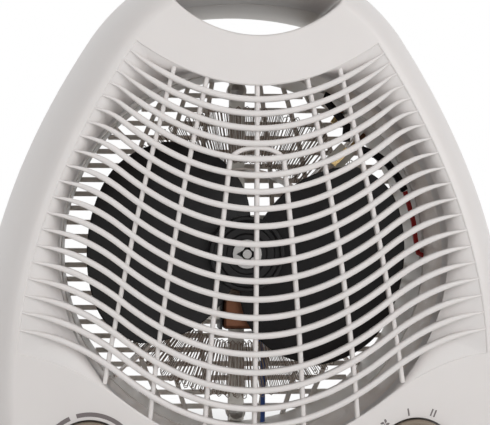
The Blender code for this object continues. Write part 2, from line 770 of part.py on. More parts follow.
def add_rib(bm, points):
    path = [(x, face_y(x, z) - BAR_PROUD + RIB_SETBACK, z) for x, z in points]
    add_bar(bm, path, [RIB_WIDTH] * len(path), [RIB_DEPTH] * len(path))


def panel_z(row, x):
    return bar_z(row, x, bar_tip(row))


def rib_points(index, high, low, steps):
    return [(rib_x(index, z), z) for z in np.linspace(high, low, steps + 1)]


def add_centre_rib(bm):
    add_rib(bm, [(0, z) for z in np.linspace(panel_z(0, 0) + BAR_BURY,
                                             panel_z(BAR_COUNT + 1, 0) - BAR_BURY, 8)])


def add_grille_ribs(bm):
    last = BAR_COUNT + 1
    for index in (1, 2):
        high = panel_z(0, RIB_TOP_X[index]) + BAR_BURY
        low = panel_z(last, RIB_LOW_X[index]) - BAR_BURY
        right = rib_points(index, high, low, 7)
        add_rib(bm, right)
        add_rib(bm, [(-x, z) for x, z in right])
    foot = RIB_ARCH_Z - RIB_ARCH_HEIGHT
    right = rib_points(0, foot, panel_z(last, RIB_LOW_X[0]) - BAR_BURY, 5)
    width = right[0][0]
    arch = [(-width * math.cos(math.pi * i / 8), foot + RIB_ARCH_HEIGHT * math.sin(math.pi * i / 8))
            for i in range(1, 8)]
    add_rib(bm, [(-x, z) for x, z in reversed(right)] + arch + right)


def grown(outline, amount, centre=(0, 0)):
    """Outline moved outwards from a centre."""
    result = []
    for x, z in outline:
        dx, dz = x - centre[0], z - centre[1]
        length = math.hypot(dx, dz)
        result.append((x + dx / length * amount, z + dz / length * amount))
    return result


# Air duct

DUCT_CENTRE = (0, DUCT_Z)
AXIS = (0, 0, DUCT_Z)
LIP_Y = FACE_Y + DISH_DEPTH
LINER_INNER = DUCT_RADIUS + FIT
LINER_OUTER = LINER_INNER + LINER_WALL
COLLAR_INNER = LINER_OUTER + RUN
COLLAR_OUTER = COLLAR_INNER + DUCT_WALL


def add_dish(bm):
    """Dished surround of the grille, the duct's lip and the collar behind it."""
    edge = grille_outline()
    circle = []
    for x, z in edge:
        length = math.hypot(x, z - DUCT_Z)
        circle.append((x / length, (z - DUCT_Z) / length))

    def ring(radius, y):
        return [(radius * cx, y, DUCT_Z + radius * cz) for cx, cz in circle]

    def rim(out, back):
        return [(x, face_y(x, z) + back, z) for x, z in grown(edge, out, DUCT_CENTRE)]

    def waist(out):
        points = []
        for (x, z), (cx, cz) in zip(edge, circle):
            radius = math.hypot(x, z - DUCT_Z)
            radius += (DUCT_RADIUS - radius) * DISH_WAIST[0] + out
            start = face_y(x, z) + RIM_SET
            y = start + (LIP_Y - start) * DISH_WAIST[1]
            points.append((radius * cx, y, DUCT_Z + radius * cz))
        return points

    back = PARTING_Y - FIT
    add_loft(bm, [rim(0, RIM_SET), waist(0), ring(DUCT_RADIUS, LIP_Y), ring(DUCT_RADIUS, LIP_Y + LIP),
                  ring(COLLAR_INNER, LIP_Y + LIP), ring(COLLAR_INNER, back),
                  ring(COLLAR_OUTER, back), ring(COLLAR_OUTER, LIP_Y + 2 * LIP), waist(DUCT_WALL),
                  rim(RIM_GRIP, WALL - RIM_SET), rim(RIM_GRIP, RIM_SET)], closed=True)


# Front shell

def dial_x():
    return side_x(DIAL_Z) - DIAL_EDGE


SEAT_RADIUS = KNOB_RADIUS + SEAT_CLEARANCE
SEAT_Y = face_y(dial_x(), DIAL_Z) + DIAL_SEAT_DEPTH
SEAT_BACK_Y = SEAT_Y + WALL
DIALS = {"thermostat": -dial_x(), "selector": dial_x()}
POST_LOW = (side_x(POST_LOW_Z) - POST_LOW_EDGE, POST_LOW_Z)
POSTS = [(side * x, z) for x, z in (POST_TOP, POST_LOW) for side in (-1, 1)]
FAR = 2 * (BACK_Y - FRONT_Y)
SHANK_HOLE = SCREW_RADIUS + FIT
SCREW_SEAT_Y = PARTING_Y + SCREW_GRIP
SPINDLE_END_Y = SEAT_Y - RUN + SPINDLE_LENGTH
LENS_PLACE = Vector((0, face_y(0, LENS_Z), LENS_Z))
LENS_TILT = math.atan(2 * FACE_FALL * (FACE_TURN_Z - LENS_Z))
LENS_OUT = Vector((0, -math.cos(LENS_TILT), -math.sin(LENS_TILT)))


def flat_back(_x, _z):
    return BACK_Y


def front_inner_solids():
    """Solids that the front shell's wall carries on its inside."""
    yield solid("dish", add_dish, tool=True)
    yield solid("tunnel_front", lambda bm: add_prism(bm, hole_outline(WALL), -FAR, PARTING_Y - FIT),
                tool=True)

    def posts(bm):
        for x, z in POSTS:
            add_rod(bm, (x, -FAR, z), (x, PARTING_Y - FIT, z), POST_RADIUS, 10)
    yield solid("posts_front", posts, tool=True)

    def seats(bm):
        for x in DIALS.values():
            add_rod(bm, (x, -FAR, DIAL_Z), (x, SEAT_BACK_Y, DIAL_Z), SEAT_RADIUS + WALL, 24)
    yield solid("seats", seats, tool=True)


def front_cuts():
    """Openings and holes of the front shell."""
    yield solid("hole_front", lambda bm: add_prism(bm, hole_outline(), -FAR, FAR), tool=True)

    def holes(bm):
        for x, z in POSTS:
            add_rod(bm, (x, SCREW_SEAT_Y - SCREW_LENGTH - RUN, z), (x, FAR, z), SHANK_HOLE, 8)
        for x in DIALS.values():
            add_rod(bm, (x, -FAR, DIAL_Z), (x, SEAT_Y, DIAL_Z), SEAT_RADIUS, 24)
        add_rod(bm, LENS_PLACE + LENS_OUT * WALL, LENS_PLACE - LENS_OUT * 2 * WALL,
                LENS_RADIUS + FIT, 12)
    yield solid("holes_front", holes, tool=True)

    def bush_holes(bm):
        for x in DIALS.values():
            add_rod(bm, (x, SEAT_Y - WALL, DIAL_Z), (x, SEAT_BACK_Y + WALL, DIAL_Z), BUSH_RADIUS + FIT,
                    16)
    yield solid("bush_holes", bush_holes, tool=True)
    yield solid("foot_holes_front", lambda bm: add_foot_holes(bm, FOOT_FRONT_Y), tool=True)


def add_foot_holes(bm, y):
    for side in (-1, 1):
        x = side * foot_x()
        add_rod(bm, (x, y, 0), (x, y, BASE_Z + 2 * WALL), FOOT_STEM + FIT, 10)


def foot_x():
    return side_x(BASE_Z + BASE_CORNER) - FOOT_EDGE


def build_front_shell():
    front = shell("front_shell", IVORY, PARTING_Y - FIT, face_y, FRONT_DRAFT, FRONT_ROUND)
    core = shell_core("front_core", PARTING_Y - FIT, face_y, FRONT_DRAFT, FRONT_ROUND)
    opening = solid("grille_opening",
                    lambda bm: add_prism(bm, grille_outline(), -FAR, LIP_Y - 2 * LIP), tool=True)
    combine(front, opening, "DIFFERENCE")
    for inner in front_inner_solids():
        if inner.name != "dish":
            combine(inner, core, "INTERSECT")
        combine(front, inner, "UNION")
    for cut in front_cuts():
        combine(front, cut, "DIFFERENCE")
    bars = solid("grille_bars", add_grille_bars, tool=True)
    combine(bars, solid("grille_ribs", add_grille_ribs, tool=True), "UNION")
    combine(bars, solid("centre_rib", add_centre_rib, tool=True), "UNION")
    combine(front, bars, "UNION")
    return front


# Rear shell

GRILLE_BACK_Y = BACK_Y - REAR_RECESS
GRILLE_IN_Y = GRILLE_BACK_Y - REAR_BAR_DEPTH
RIB_IN_Y = GRILLE_IN_Y - REAR_RIB_DEPTH
REAR_START_Y = PARTING_Y + FIT
CARRIER_Y = RIB_IN_Y - CARRIER_BOSS_HEIGHT - FIT
CARRIER_REACH = DUCT_RADIUS - CARRIER_BOSS_RADIUS - RUN
VANE_ANGLES = [45 + 360 / VANE_COUNT * i for i in range(VANE_COUNT)]


def vane_turn(degrees):
    """Matrix that lays a solid modelled along +X at the origin on a radius of the duct."""
    return Matrix.Translation(AXIS) @ Matrix.Rotation(-math.radians(degrees), 4, "Y")


def duct_point(degrees, radius, y):
    """Point at an angle and a distance round the duct's axis."""
    angle = math.radians(degrees)
    return radius * math.cos(angle), y, DUCT_Z + radius * math.sin(angle)


def fold_angle(index):
    """Angle of a hairpin's outer bend, in degrees; every vane meets one in each turn."""
    return VANE_ANGLES[0] + 360 / WIRE_FOLDS * (index + WIRE_START)


def fold_y(index):
    return WIRE_FRONT_Y + WIRE_TURN_PITCH * index / WIRE_FOLDS


FOLD_COUNT = WIRE_TURNS * WIRE_FOLDS - WIRE_START
TAIL_ANGLES = (fold_angle(-0.75), fold_angle(FOLD_COUNT - 0.25) % 360)
TAIL_Y = (fold_y(0), fold_y(FOLD_COUNT))
TAIL_END = WIRE_TAIL + 2 * FIT + CRIMP_LENGTH
MOTOR_HOLE = (-81.5, 39.5 * MM)
WALL_HOLES = [*zip(TAIL_ANGLES, TAIL_Y), MOTOR_HOLE]


def add_rear_bars(bm):
    rows = int(DUCT_RADIUS / REAR_BAR_PITCH)
    for row in range(-rows, rows + 1):
        z = row * REAR_BAR_PITCH
        inside = (DUCT_RADIUS + DUCT_WALL / 2) ** 2 - (abs(z) + REAR_BAR_HEIGHT / 2) ** 2
        half = math.sqrt(max(inside, 1e-6))
        low, high = DUCT_Z + z - REAR_BAR_HEIGHT / 2, DUCT_Z + z + REAR_BAR_HEIGHT / 2
        add_box(bm, (-half, GRILLE_IN_Y, low), (half, GRILLE_BACK_Y, high))


def add_rear_ribs(bm):
    reach = DUCT_RADIUS + DUCT_WALL / 2
    half = REAR_SPINE_WIDTH / 2
    add_box(bm, (-half, RIB_IN_Y, DUCT_Z - reach), (half, GRILLE_IN_Y + REAR_LAP, DUCT_Z + reach))
    for middle in REAR_RIB_X:
        top = math.sqrt(reach ** 2 - (middle * REAR_RIB_PINCH) ** 2)
        path = []
        for z in np.linspace(-top, top, REAR_RIB_STEPS):
            x = middle * (1 - (1 - REAR_RIB_PINCH) * (z / top) ** 2)
            path.append((x, RIB_IN_Y, DUCT_Z + z))
        for side in (-1, 1):
            add_bar(bm, [(side * x, y, z) for x, y, z in path], [REAR_RIB_WIDTH] * REAR_RIB_STEPS,
                    [REAR_RIB_DEPTH + REAR_LAP] * REAR_RIB_STEPS)


def rear_inner_solids():
    """Solids that the rear shell's wall carries on its inside."""
    yield solid("tunnel_rear", lambda bm: add_prism(bm, hole_outline(WALL), REAR_START_Y, FAR),
                tool=True)

    def posts(bm):
        for x, z in POSTS:
            add_rod(bm, (x, REAR_START_Y, z), (x, FAR, z), POST_RADIUS, 10)
    yield solid("posts_rear", posts, tool=True)
    profile = [(COLLAR_OUTER, -REAR_START_Y), (COLLAR_OUTER, -FAR), (DUCT_RADIUS, -FAR),
               (DUCT_RADIUS, -REAR_START_Y)]
    yield turned("collar_rear", profile, location=AXIS, steps=DUCT_STEPS, tool=True)


def rear_cuts():
    """Openings and holes of the rear shell."""
    yield solid("hole_rear", lambda bm: add_prism(bm, hole_outline(), -FAR, FAR), tool=True)

    def holes(bm):
        for x, z in POSTS:
            add_rod(bm, (x, SCREW_SEAT_Y, z), (x, FAR, z), SCREW_HEAD_RADIUS + FIT, 10)
        add_rod(bm, (GLAND_X, 0, GLAND_Z), (GLAND_X, FAR, GLAND_Z), GLAND_RADIUS + FIT, 12)
        add_rod(bm, (0, GRILLE_IN_Y - REAR_LAP, DUCT_Z), (0, FAR, DUCT_Z), DUCT_RADIUS + REAR_LAP,
                DUCT_STEPS)
    yield solid("holes_rear", holes, tool=True)

    def shank_holes(bm):
        for x, z in POSTS:
            add_rod(bm, (x, -FAR, z), (x, SCREW_SEAT_Y + SCREW_HEAD_RADIUS, z), SHANK_HOLE, 8)
    yield solid("shank_holes", shank_holes, tool=True)
    yield solid("foot_holes_rear", lambda bm: add_foot_holes(bm, FOOT_REAR_Y), tool=True)

    def notches(bm):
        for degrees in WALL_NOTCHES:
            turn = vane_turn(degrees)
            add_box(bm, (DUCT_RADIUS - WALL, 0, -NOTCH_WIDTH / 2),
                    (COLLAR_OUTER + WALL, REAR_START_Y + NOTCH_DEPTH, NOTCH_WIDTH / 2), turn)
        for degrees, y in WALL_HOLES:
            add_rod(bm, duct_point(degrees, DUCT_RADIUS - WALL, y),
                    duct_point(degrees, COLLAR_OUTER + WALL, y), LEAD_RADIUS + RUN, 12)
    yield solid("notches", notches, tool=True)


def build_rear_shell():
    rear = shell("rear_shell", IVORY, REAR_START_Y, flat_back, REAR_DRAFT, REAR_ROUND)
    core = shell_core("rear_core", REAR_START_Y, flat_back, REAR_DRAFT, REAR_ROUND)
    for inner in rear_inner_solids():
        combine(inner, core, "INTERSECT")
        combine(rear, inner, "UNION")
    for cut in rear_cuts():
        combine(rear, cut, "DIFFERENCE")
    bars = solid("rear_bars", add_rear_bars, tool=True)
    combine(bars, solid("rear_ribs", add_rear_ribs, tool=True), "UNION")

    def bosses(bm):
        for side in (-1, 1):
            z = DUCT_Z + side * CARRIER_REACH
            add_rod(bm, (0, CARRIER_Y + FIT, z), (0, GRILLE_IN_Y + REAR_LAP, z), CARRIER_BOSS_RADIUS)
    combine(bars, solid("carrier_bosses", bosses, tool=True), "UNION")

    def boss_holes(bm):
        for side in (-1, 1):
            z = DUCT_Z + side * CARRIER_REACH
            add_rod(bm, (0, 0, z), (0, CARRIER_Y + SCREW_LENGTH / 2, z), SHANK_HOLE, 12)
    combine(bars, solid("carrier_holes", boss_holes, tool=True), "DIFFERENCE")
    combine(rear, bars, "UNION")
    return rear


# Fan

FAN_MID_Y = FAN_HUB_FRONT_Y + FAN_HUB_LENGTH / 2


def blade_point(share, radius):
    """Point on the middle of a blade, from its leading edge (share 0) to its trailing edge."""
    out = radius / MM - FAN_HUB_RADIUS / MM
    lead = BLADE_LEAD + math.radians(BLADE_LEAD_SWEEP[0] * out + BLADE_LEAD_SWEEP[1] * out ** 2)
    trail = BLADE_TRAIL - math.radians(BLADE_TRAIL_SWEEP[0] * out + BLADE_TRAIL_SWEEP[1] * out ** 2)
    angle = lead + (trail - lead) * share
    spread = (radius - FAN_HUB_RADIUS) / (FAN_RADIUS - FAN_HUB_RADIUS)
    axial = FAN_ROOT_AXIAL + (FAN_AXIAL - FAN_ROOT_AXIAL) * min(1.0, 2 * max(0.0, spread))
    y = FAN_MID_Y + axial * (0.5 - share) - BLADE_CAMBER * spread * 4 * share * (1 - share)
    return radius * math.cos(angle), y, radius * math.sin(angle)


def add_blade(bm):
    """Middle surface of the left blade; its corners are rounded by pulling in the rim."""
    grid = []
    for j in range(BLADE_ROWS + 1):
        row = []
        for i in range(BLADE_STEPS + 1):
            share = i / BLADE_STEPS
            rim = FAN_RADIUS - BLADE_CORNER * abs(2 * share - 1) ** 8
            root = FAN_HUB_RADIUS - BLADE_ROOT
            row.append(bm.verts.new(blade_point(share, root + (rim - root) * j / BLADE_ROWS)))
        grid.append(row)
    for lower, upper in zip(grid, grid[1:]):
        for i in range(BLADE_STEPS):
            bm.faces.new((lower[i], lower[i + 1], upper[i + 1], upper[i]))


def build_fan():
    axis = axis_empty("fan_axis", AXIS)
    front = -FAN_HUB_FRONT_Y
    back = front - FAN_HUB_LENGTH
    bore = SHAFT_RADIUS + FIT
    wall = HUB_WALL
    profile = [(bore, front - HUB_DISH / 2), (HUB_BOSS, front - HUB_DISH / 2),
               (HUB_BOSS, front - HUB_DISH), (FAN_HUB_RADIUS - wall, front - HUB_DISH),
               (FAN_HUB_RADIUS - wall, front), (FAN_HUB_RADIUS - wall / 3, front),
               (FAN_HUB_RADIUS, front - wall / 2), (FAN_HUB_RADIUS, back),
               (FAN_HUB_RADIUS - wall, back), (FAN_HUB_RADIUS - wall, front - HUB_DISH - wall),
               (HUB_BOSS, front - HUB_DISH - wall), (HUB_BOSS, back), (bore, back)]
    hub = turned("fan_impeller", profile, BLACK, axis, steps=24)
    for side in (0, 180):
        blade = solid(f"blade_{side}", add_blade, BLACK, axis, tool=True)
        blade.rotation_euler = (0, math.radians(side), 0)
        sheet = blade.modifiers.new("sheet", "SOLIDIFY")
        sheet.thickness = BLADE_THICKNESS
        sheet.offset = 0
        combine(hub, blade, "UNION")
    clip_y = front - HUB_DISH / 2 + FIT
    clip = turned("fan_clip", [(0, clip_y + CLIP_THICKNESS), (HUB_BOSS, clip_y + CLIP_THICKNESS),
                               (HUB_BOSS, clip_y), (0, clip_y)], BRIGHT, axis, steps=20)

    def star(bm):
        points = []
        for i in range(8):
            radius = CLIP_STAR if i % 2 == 0 else SHAFT_RADIUS + RUN
            points.append((radius * math.cos(math.pi / 4 * i), radius * math.sin(math.pi / 4 * i)))
        add_prism(bm, points, -FAR, FAR)
    combine(clip, solid("star", star, parent=axis, tool=True), "DIFFERENCE")
    shaft_front = clip_y + CLIP_THICKNESS / 2
    turned("motor_shaft", [(0, shaft_front), (SHAFT_RADIUS, shaft_front),
                           (SHAFT_RADIUS, -SHAFT_END_Y), (0, -SHAFT_END_Y)],
           BRIGHT, axis, steps=12)
    inner = SHAFT_RADIUS + FIT
    turned("motor_rotor", [(inner, -STACK_FRONT_Y), (ROTOR_RADIUS, -STACK_FRONT_Y),
                           (ROTOR_RADIUS, -STACK_BACK_Y), (inner, -STACK_BACK_Y)],
           STEEL, axis, steps=20)


# Motor

STACK_BACK_Y = STACK_FRONT_Y + STACK_DEPTH
FRONT_BRACKET_Y = STACK_FRONT_Y - BRACKET_REACH
REAR_BRACKET_Y = STACK_BACK_Y + BRACKET_REACH
SHAFT_END_Y = REAR_BRACKET_Y + BEARING_LENGTH
STATOR_BORE = ROTOR_RADIUS + AIR_GAP
MOTOR_SCREW_X = (STACK_HALF_WIDTH + STATOR_BORE) / 2
COIL_INNER = COIL_LENGTH / 2 + RUN


def at_axis(x, z):
    return x, DUCT_Z + z


def add_plate(bm, x0, x1, z0, z1, y0, y1):
    add_box(bm, (x0, y0, DUCT_Z + z0), (x1, y1, DUCT_Z + z1))


def add_motor_rods(bm, y0, y1, radius, segments=8):
    for side in (-1, 1):
        add_rod(bm, (side * MOTOR_SCREW_X, y0, DUCT_Z), (side * MOTOR_SCREW_X, y1, DUCT_Z),
                radius, segments)


def build_motor():
    half, chamfer = STACK_HALF_WIDTH, STACK_CHAMFER
    outline = [(-half, -STACK_LOW), (half, -STACK_LOW), (half, STACK_TOP - chamfer),
               (half - chamfer, STACK_TOP), (chamfer - half, STACK_TOP), (-half, STACK_TOP - chamfer)]
    outline = [at_axis(x, z) for x, z in outline]
    stator = solid("motor_stator",
                   lambda bm: add_prism(bm, outline, STACK_FRONT_Y, STACK_BACK_Y), STEEL)
    cut_away(
        stator,
        lambda bm: add_rod(bm, (0, 0, DUCT_Z), (0, FAR, DUCT_Z), STATOR_BORE, 24),
        lambda bm: add_plate(bm, -COIL_INNER, COIL_INNER, -STACK_LOW + STACK_LIMB,
                             -STATOR_BORE - POLE_WALL, 0, FAR),
        lambda bm: add_motor_rods(bm, 0, FAR, MOTOR_SCREW_RADIUS + FIT))
    build_coil()
    for name, y, low, high in (
            ("motor_bracket_front", FRONT_BRACKET_Y, FRONT_BRACKET_Y, STACK_FRONT_Y - FIT),
            ("motor_bracket_rear", REAR_BRACKET_Y, STACK_BACK_Y + FIT,
             CARRIER_Y - STRAP_THICKNESS - FIT)):
        pillar_low = low + (BRACKET_THICKNESS / 2 if low == y else 0)
        bracket = fused(
            name, STEEL,
            lambda bm: add_plate(bm, -half, half, -BRACKET_WIDTH / 2, BRACKET_WIDTH / 2, y,
                                 y + BRACKET_THICKNESS),
            lambda bm: add_motor_rods(bm, pillar_low, high, PILLAR_RADIUS, 10))
        cut_away(bracket,
                 lambda bm: add_rod(bm, (0, y - WALL, DUCT_Z), (0, y + 2 * WALL, DUCT_Z),
                                    BEARING_SEAT + FIT, 16),
                 lambda bm: add_motor_rods(bm, low - WALL, high + WALL, MOTOR_SCREW_RADIUS + FIT))
    build_bearings()
    build_carrier()


def build_coil():
    """Bobbin on the stack's lower bar, and the taped winding on it."""
    y0, y1 = STACK_FRONT_Y - FIT, STACK_BACK_Y + FIT
    low, high = -STACK_LOW - FIT, -STACK_LOW + STACK_LIMB + FIT
    long = COIL_LENGTH / 2

    def block(x0, x1, grow):
        return lambda bm: add_plate(bm, x0, x1, low - grow, high + grow, y0 - grow, y1 + grow)
    flange = long - BOBBIN_WALL
    tube_end = long - BOBBIN_WALL / 2
    bobbin = fused("motor_bobbin", BLACK, block(-tube_end, tube_end, BOBBIN_WALL),
                   block(-long, -flange, COIL_BUILD), block(flange, long, COIL_BUILD))
    cut_away(bobbin, block(-FAR, FAR, 0))
    inside = flange - FIT
    winding = solid("motor_winding", block(-inside, inside, COIL_BUILD - RUN), COPPER)
    rounded = winding.modifiers.new("rounded", "BEVEL")
    rounded.width = 2 * BOBBIN_WALL
    rounded.segments = 2
    cut_away(winding, block(-FAR, FAR, BOBBIN_WALL + FIT))


def build_bearings():
    for name, y in (("front", FRONT_BRACKET_Y), ("rear", REAR_BRACKET_Y)):
        front, back = -(y - WALL), -(y + BRACKET_THICKNESS + WALL)
        turned(f"motor_bearing_{name}", [
            (SHAFT_RADIUS + RUN / 2, front), (BEARING_RADIUS, front),
            (BEARING_RADIUS, -(y - FIT)), (BEARING_SEAT, -(y - FIT)), (BEARING_SEAT, back),
            (SHAFT_RADIUS + RUN / 2, back)], BRASS, location=AXIS, steps=12)


def build_carrier():
    """Strap that holds the motor in the rear shell, with its screws."""
    places = [(side * MOTOR_SCREW_X, DUCT_Z) for side in (-1, 1)]
    build_screws("motor_screw", places, FRONT_BRACKET_Y - FIT, MOTOR_SCREW_RADIUS,
                 CARRIER_Y + RUN - FRONT_BRACKET_Y)
    wide, tall = STRAP_WIDTH / 2, BRACKET_WIDTH / 2
    reach, half = CARRIER_REACH + STRAP_WIDTH / 2, STACK_HALF_WIDTH + CARRIER_LAP
    outline = [(wide, -reach), (wide, -tall), (half, -tall), (half, tall), (wide, tall), (wide, reach),
               (-wide, reach), (-wide, tall), (-half, tall), (-half, -tall), (-wide, -tall),
               (-wide, -reach)]
    carrier = solid("motor_carrier", lambda bm: add_prism(
        bm, [at_axis(x, z) for x, z in outline], CARRIER_Y - STRAP_THICKNESS, CARRIER_Y), STEEL)

    def end_holes(bm):
        for side in (-1, 1):
            z = DUCT_Z + side * CARRIER_REACH
            add_rod(bm, (0, 0, z), (0, FAR, z), SHANK_HOLE, 12)
    cut_away(carrier, lambda bm: add_motor_rods(bm, 0, FAR, MOTOR_SCREW_RADIUS + FIT), end_holes)
    places = [(0, DUCT_Z + side * CARRIER_REACH) for side in (-1, 1)]
    build_screws("carrier_screw", places, CARRIER_Y - STRAP_THICKNESS - FIT, SCREW_RADIUS,
                 SCREW_LENGTH / 2)


def build_screws(name, places, seat, radius, length, direction=1):
    """Pan-head screws; direction 1 puts the head to the front, -1 to the rear."""
    head = 2 * radius
    for number, (x, z) in enumerate(places, 1):
        profile = [(0, SCREW_HEAD_HEIGHT), (head, SCREW_HEAD_HEIGHT / 2), (head, 0), (radius, 0),
                   (radius, -length), (0, -length)]
        screw = turned(f"{name}_{number}", profile, BRIGHT, location=(x, seat, z), steps=8)
        screw.rotation_euler = (direction * math.pi / 2, 0, 0)


# Heating ring

def wire_points():
    step = 360 / WIRE_FOLDS
    points = [duct_point(TAIL_ANGLES[0], WIRE_TAIL, fold_y(0)),
              duct_point(TAIL_ANGLES[0], WIRE_INNER, fold_y(0)),
              duct_point(fold_angle(0) - FOLD_NECK * step, WIRE_INNER, fold_y(0))]
    for index in range(FOLD_COUNT):
        y = fold_y(index)
        points.append(duct_point(fold_angle(index) - FOLD_TIP * step, WIRE_OUTER, y))
        points.append(duct_point(fold_angle(index) + FOLD_TIP * step, WIRE_OUTER, y))
        points.append(duct_point(fold_angle(index) + FOLD_NECK * step, WIRE_INNER, y))
        if index < FOLD_COUNT - 1:
            points.append(duct_point(fold_angle(index + 1) - FOLD_NECK * step, WIRE_INNER,
                                     fold_y(index + 1)))
    points.append(duct_point(TAIL_ANGLES[1], WIRE_INNER, fold_y(FOLD_COUNT)))
    points.append(duct_point(TAIL_ANGLES[1], WIRE_TAIL, fold_y(FOLD_COUNT)))
    return points


def least_self_gap(points, radius):
    """Smallest distance between stretches of a wire that aren't neighbours, less its thickness."""
    samples, places = [], []
    run = 0.0
    for a, b in zip(points, points[1:]):
        a, b = np.array(a), np.array(b)
        length = float(np.linalg.norm(b - a))
        count = max(2, int(length / (2 * radius)))
        for t in np.linspace(0, 1, count, endpoint=False):
            samples.append(a + (b - a) * t)
            places.append(run + length * t)
        run += length
    samples, places = np.array(samples), np.array(places)
    least = 1.0
    for i in range(0, len(samples), 2):
        away = np.abs(places - places[i]) > 8 * radius
        least = min(least, float(np.linalg.norm(samples[away] - samples[i], axis=1).min()))
    return least - 2 * radius


def build_heater():
    points = wire_points()
    tube("heating_wire", points, WIRE_RADIUS, NICHROME, resolution=0)
    print(f"heating wire: least gap to itself {least_self_gap(points, WIRE_RADIUS) / MM:.2f} mm")
    back = CORE_FRONT_Y + CORE_DEPTH
    frame = turned("mica_frame", [(CORE_RADIUS - MICA, -CORE_FRONT_Y), (CORE_RADIUS, -CORE_FRONT_Y),
                                  (CORE_RADIUS, -back), (CORE_RADIUS - MICA, -back)], MICA_SHEET,
                   location=AXIS, steps=32)
    turned("mica_liner", [(LINER_INNER, -(LIP_Y + LIP + FIT)), (LINER_OUTER, -(LIP_Y + LIP + FIT)),
                          (LINER_OUTER, -(PARTING_Y - FIT)), (LINER_INNER, -(PARTING_Y - FIT))],
           MICA_SHEET, location=AXIS, steps=DUCT_STEPS)
    tab = back - VANE_TAB
    root = CORE_RADIUS - MICA / 2
    outline = [(root, CORE_FRONT_Y + VANE_LAP), (WIRE_OUTER + VANE_MARGIN, CORE_FRONT_Y + VANE_LAP),
               (WIRE_OUTER + VANE_MARGIN, tab), (DUCT_RADIUS - FIT, tab),
               (DUCT_RADIUS - FIT, back - VANE_LAP), (root, back - VANE_LAP)]
    for degrees in VANE_ANGLES:
        turn = vane_turn(degrees)

        def sheet(bm):
            add_loft(bm, [[turn @ Vector((r, y, side * MICA / 2)) for r, y in outline]
                          for side in (-1, 1)])

        def windows(bm):
            for index in range(FOLD_COUNT):
                if abs((fold_angle(index) - degrees + 180) % 360 - 180) < 1:
                    y = fold_y(index)
                    add_box(bm, (WIRE_OUTER - WINDOW, y - WINDOW, -MICA),
                            (WIRE_OUTER + WINDOW, y + WINDOW, MICA), turn)
        vane = solid(f"vane_{degrees:.0f}", sheet, tool=True)
        cut_away(vane, windows)
        combine(frame, vane, "UNION")
    for name, angle, y in zip(("front", "rear"), TAIL_ANGLES, TAIL_Y):
        start, end = WIRE_TAIL + FIT, WIRE_TAIL + FIT + CRIMP_LENGTH
        solid(f"heater_crimp_{name}", lambda bm: add_rod(
            bm, duct_point(angle, start, y), duct_point(angle, end, y), CRIMP_RADIUS, 12), BRASS)


# Thermal protection, on the front edge of the first vane

def build_cutout():
    turn = vane_turn(VANE_ANGLES[0])
    front = CORE_FRONT_Y - FIT - CUTOUT_DEPTH
    near, far = CUTOUT_RADII

    def body(bm):
        add_box(bm, (near, front, -CUTOUT_HALF), (far, CORE_FRONT_Y - FIT, CUTOUT_HALF), turn)
    solid("thermal_cutout", body, CERAMIC)

    def strip(bm):
        add_box(bm, (near + FIT, front - FIT - STRIP, -CUTOUT_HALF / 3),
                (far - FIT, front - FIT, CUTOUT_HALF / 3), turn)
    solid("cutout_strip", strip, BRASS)


# Leads: each is a list of (degrees, distance, y) round the duct's wall, then plain points

def lead(name, mat, places, points=(), radius=LEAD_RADIUS):
    route = [duct_point(degrees, DUCT_RADIUS + r * MM, y * MM) for degrees, r, y in places]
    route += [tuple(c * MM for c in point) for point in points]
    return tube(name, smooth_route(route, LEAD_STEP), radius, mat)


def tab_places(dial, spread):
    x = DIALS[dial]
    return {"right": (x + spread, DIAL_Z), "left": (x - spread, DIAL_Z),
            "top": (x, DIAL_Z + spread), "low": (x, DIAL_Z - spread)}


def terminal_end(dial, place, spread, body_depth):
    """Three points that bring a lead straight into a push-on connector."""
    x, z = tab_places(dial, spread)[place]
    y = SEAT_BACK_Y + FIT + body_depth + TAB_LENGTH + CONNECTOR_NECK
    return [(x / MM, (y + d) / MM, z / MM) for d in (LEAD_RUN_IN, LEAD_RUN_IN / 2, FIT)]


def build_leads():
    switch = {place: terminal_end("selector", place, TAB_SPREAD, SWITCH_DEPTH)
              for place in ("right", "left", "top", "low")}
    stat = terminal_end("thermostat", "right", TAB_SPREAD, STAT_DEPTH)
    lead("thermal_fuse", BLACK, FUSE_ROUTE, radius=FUSE_RADIUS)
    lead("fuse_lead", BLACK, FUSE_LEAD_ROUTE + BLACK_ROUTE, stat)
    lead("red_lead_sleeve", BLACK, RED_SLEEVE_ROUTE, radius=SLEEVE_RADIUS)
    lead("red_lead", RED, RED_ROUTE, switch["top"])
    tails = [(angle, (TAIL_END - DUCT_RADIUS) / MM, y / MM)
             for angle, y in zip(TAIL_ANGLES, TAIL_Y)]
    lead("heater_lead_front", BROWN, tails[:1] + HEATER_FRONT_ROUTE, switch["right"])
    lead("heater_lead_rear", BROWN, tails[1:] + HEATER_REAR_ROUTE,
         HEATER_REAR_END + switch["low"])
    axis, low = DUCT_Z / MM, (DUCT_Z - DUCT_RADIUS) / MM
    lead("motor_lead", BLUE, [], [(x, y, axis + z) for x, y, z in MOTOR_LEAD_TOP]
         + [(x, y, low + z) for x, y, z in MOTOR_LEAD_LOW] + switch["left"])
    build_connectors()


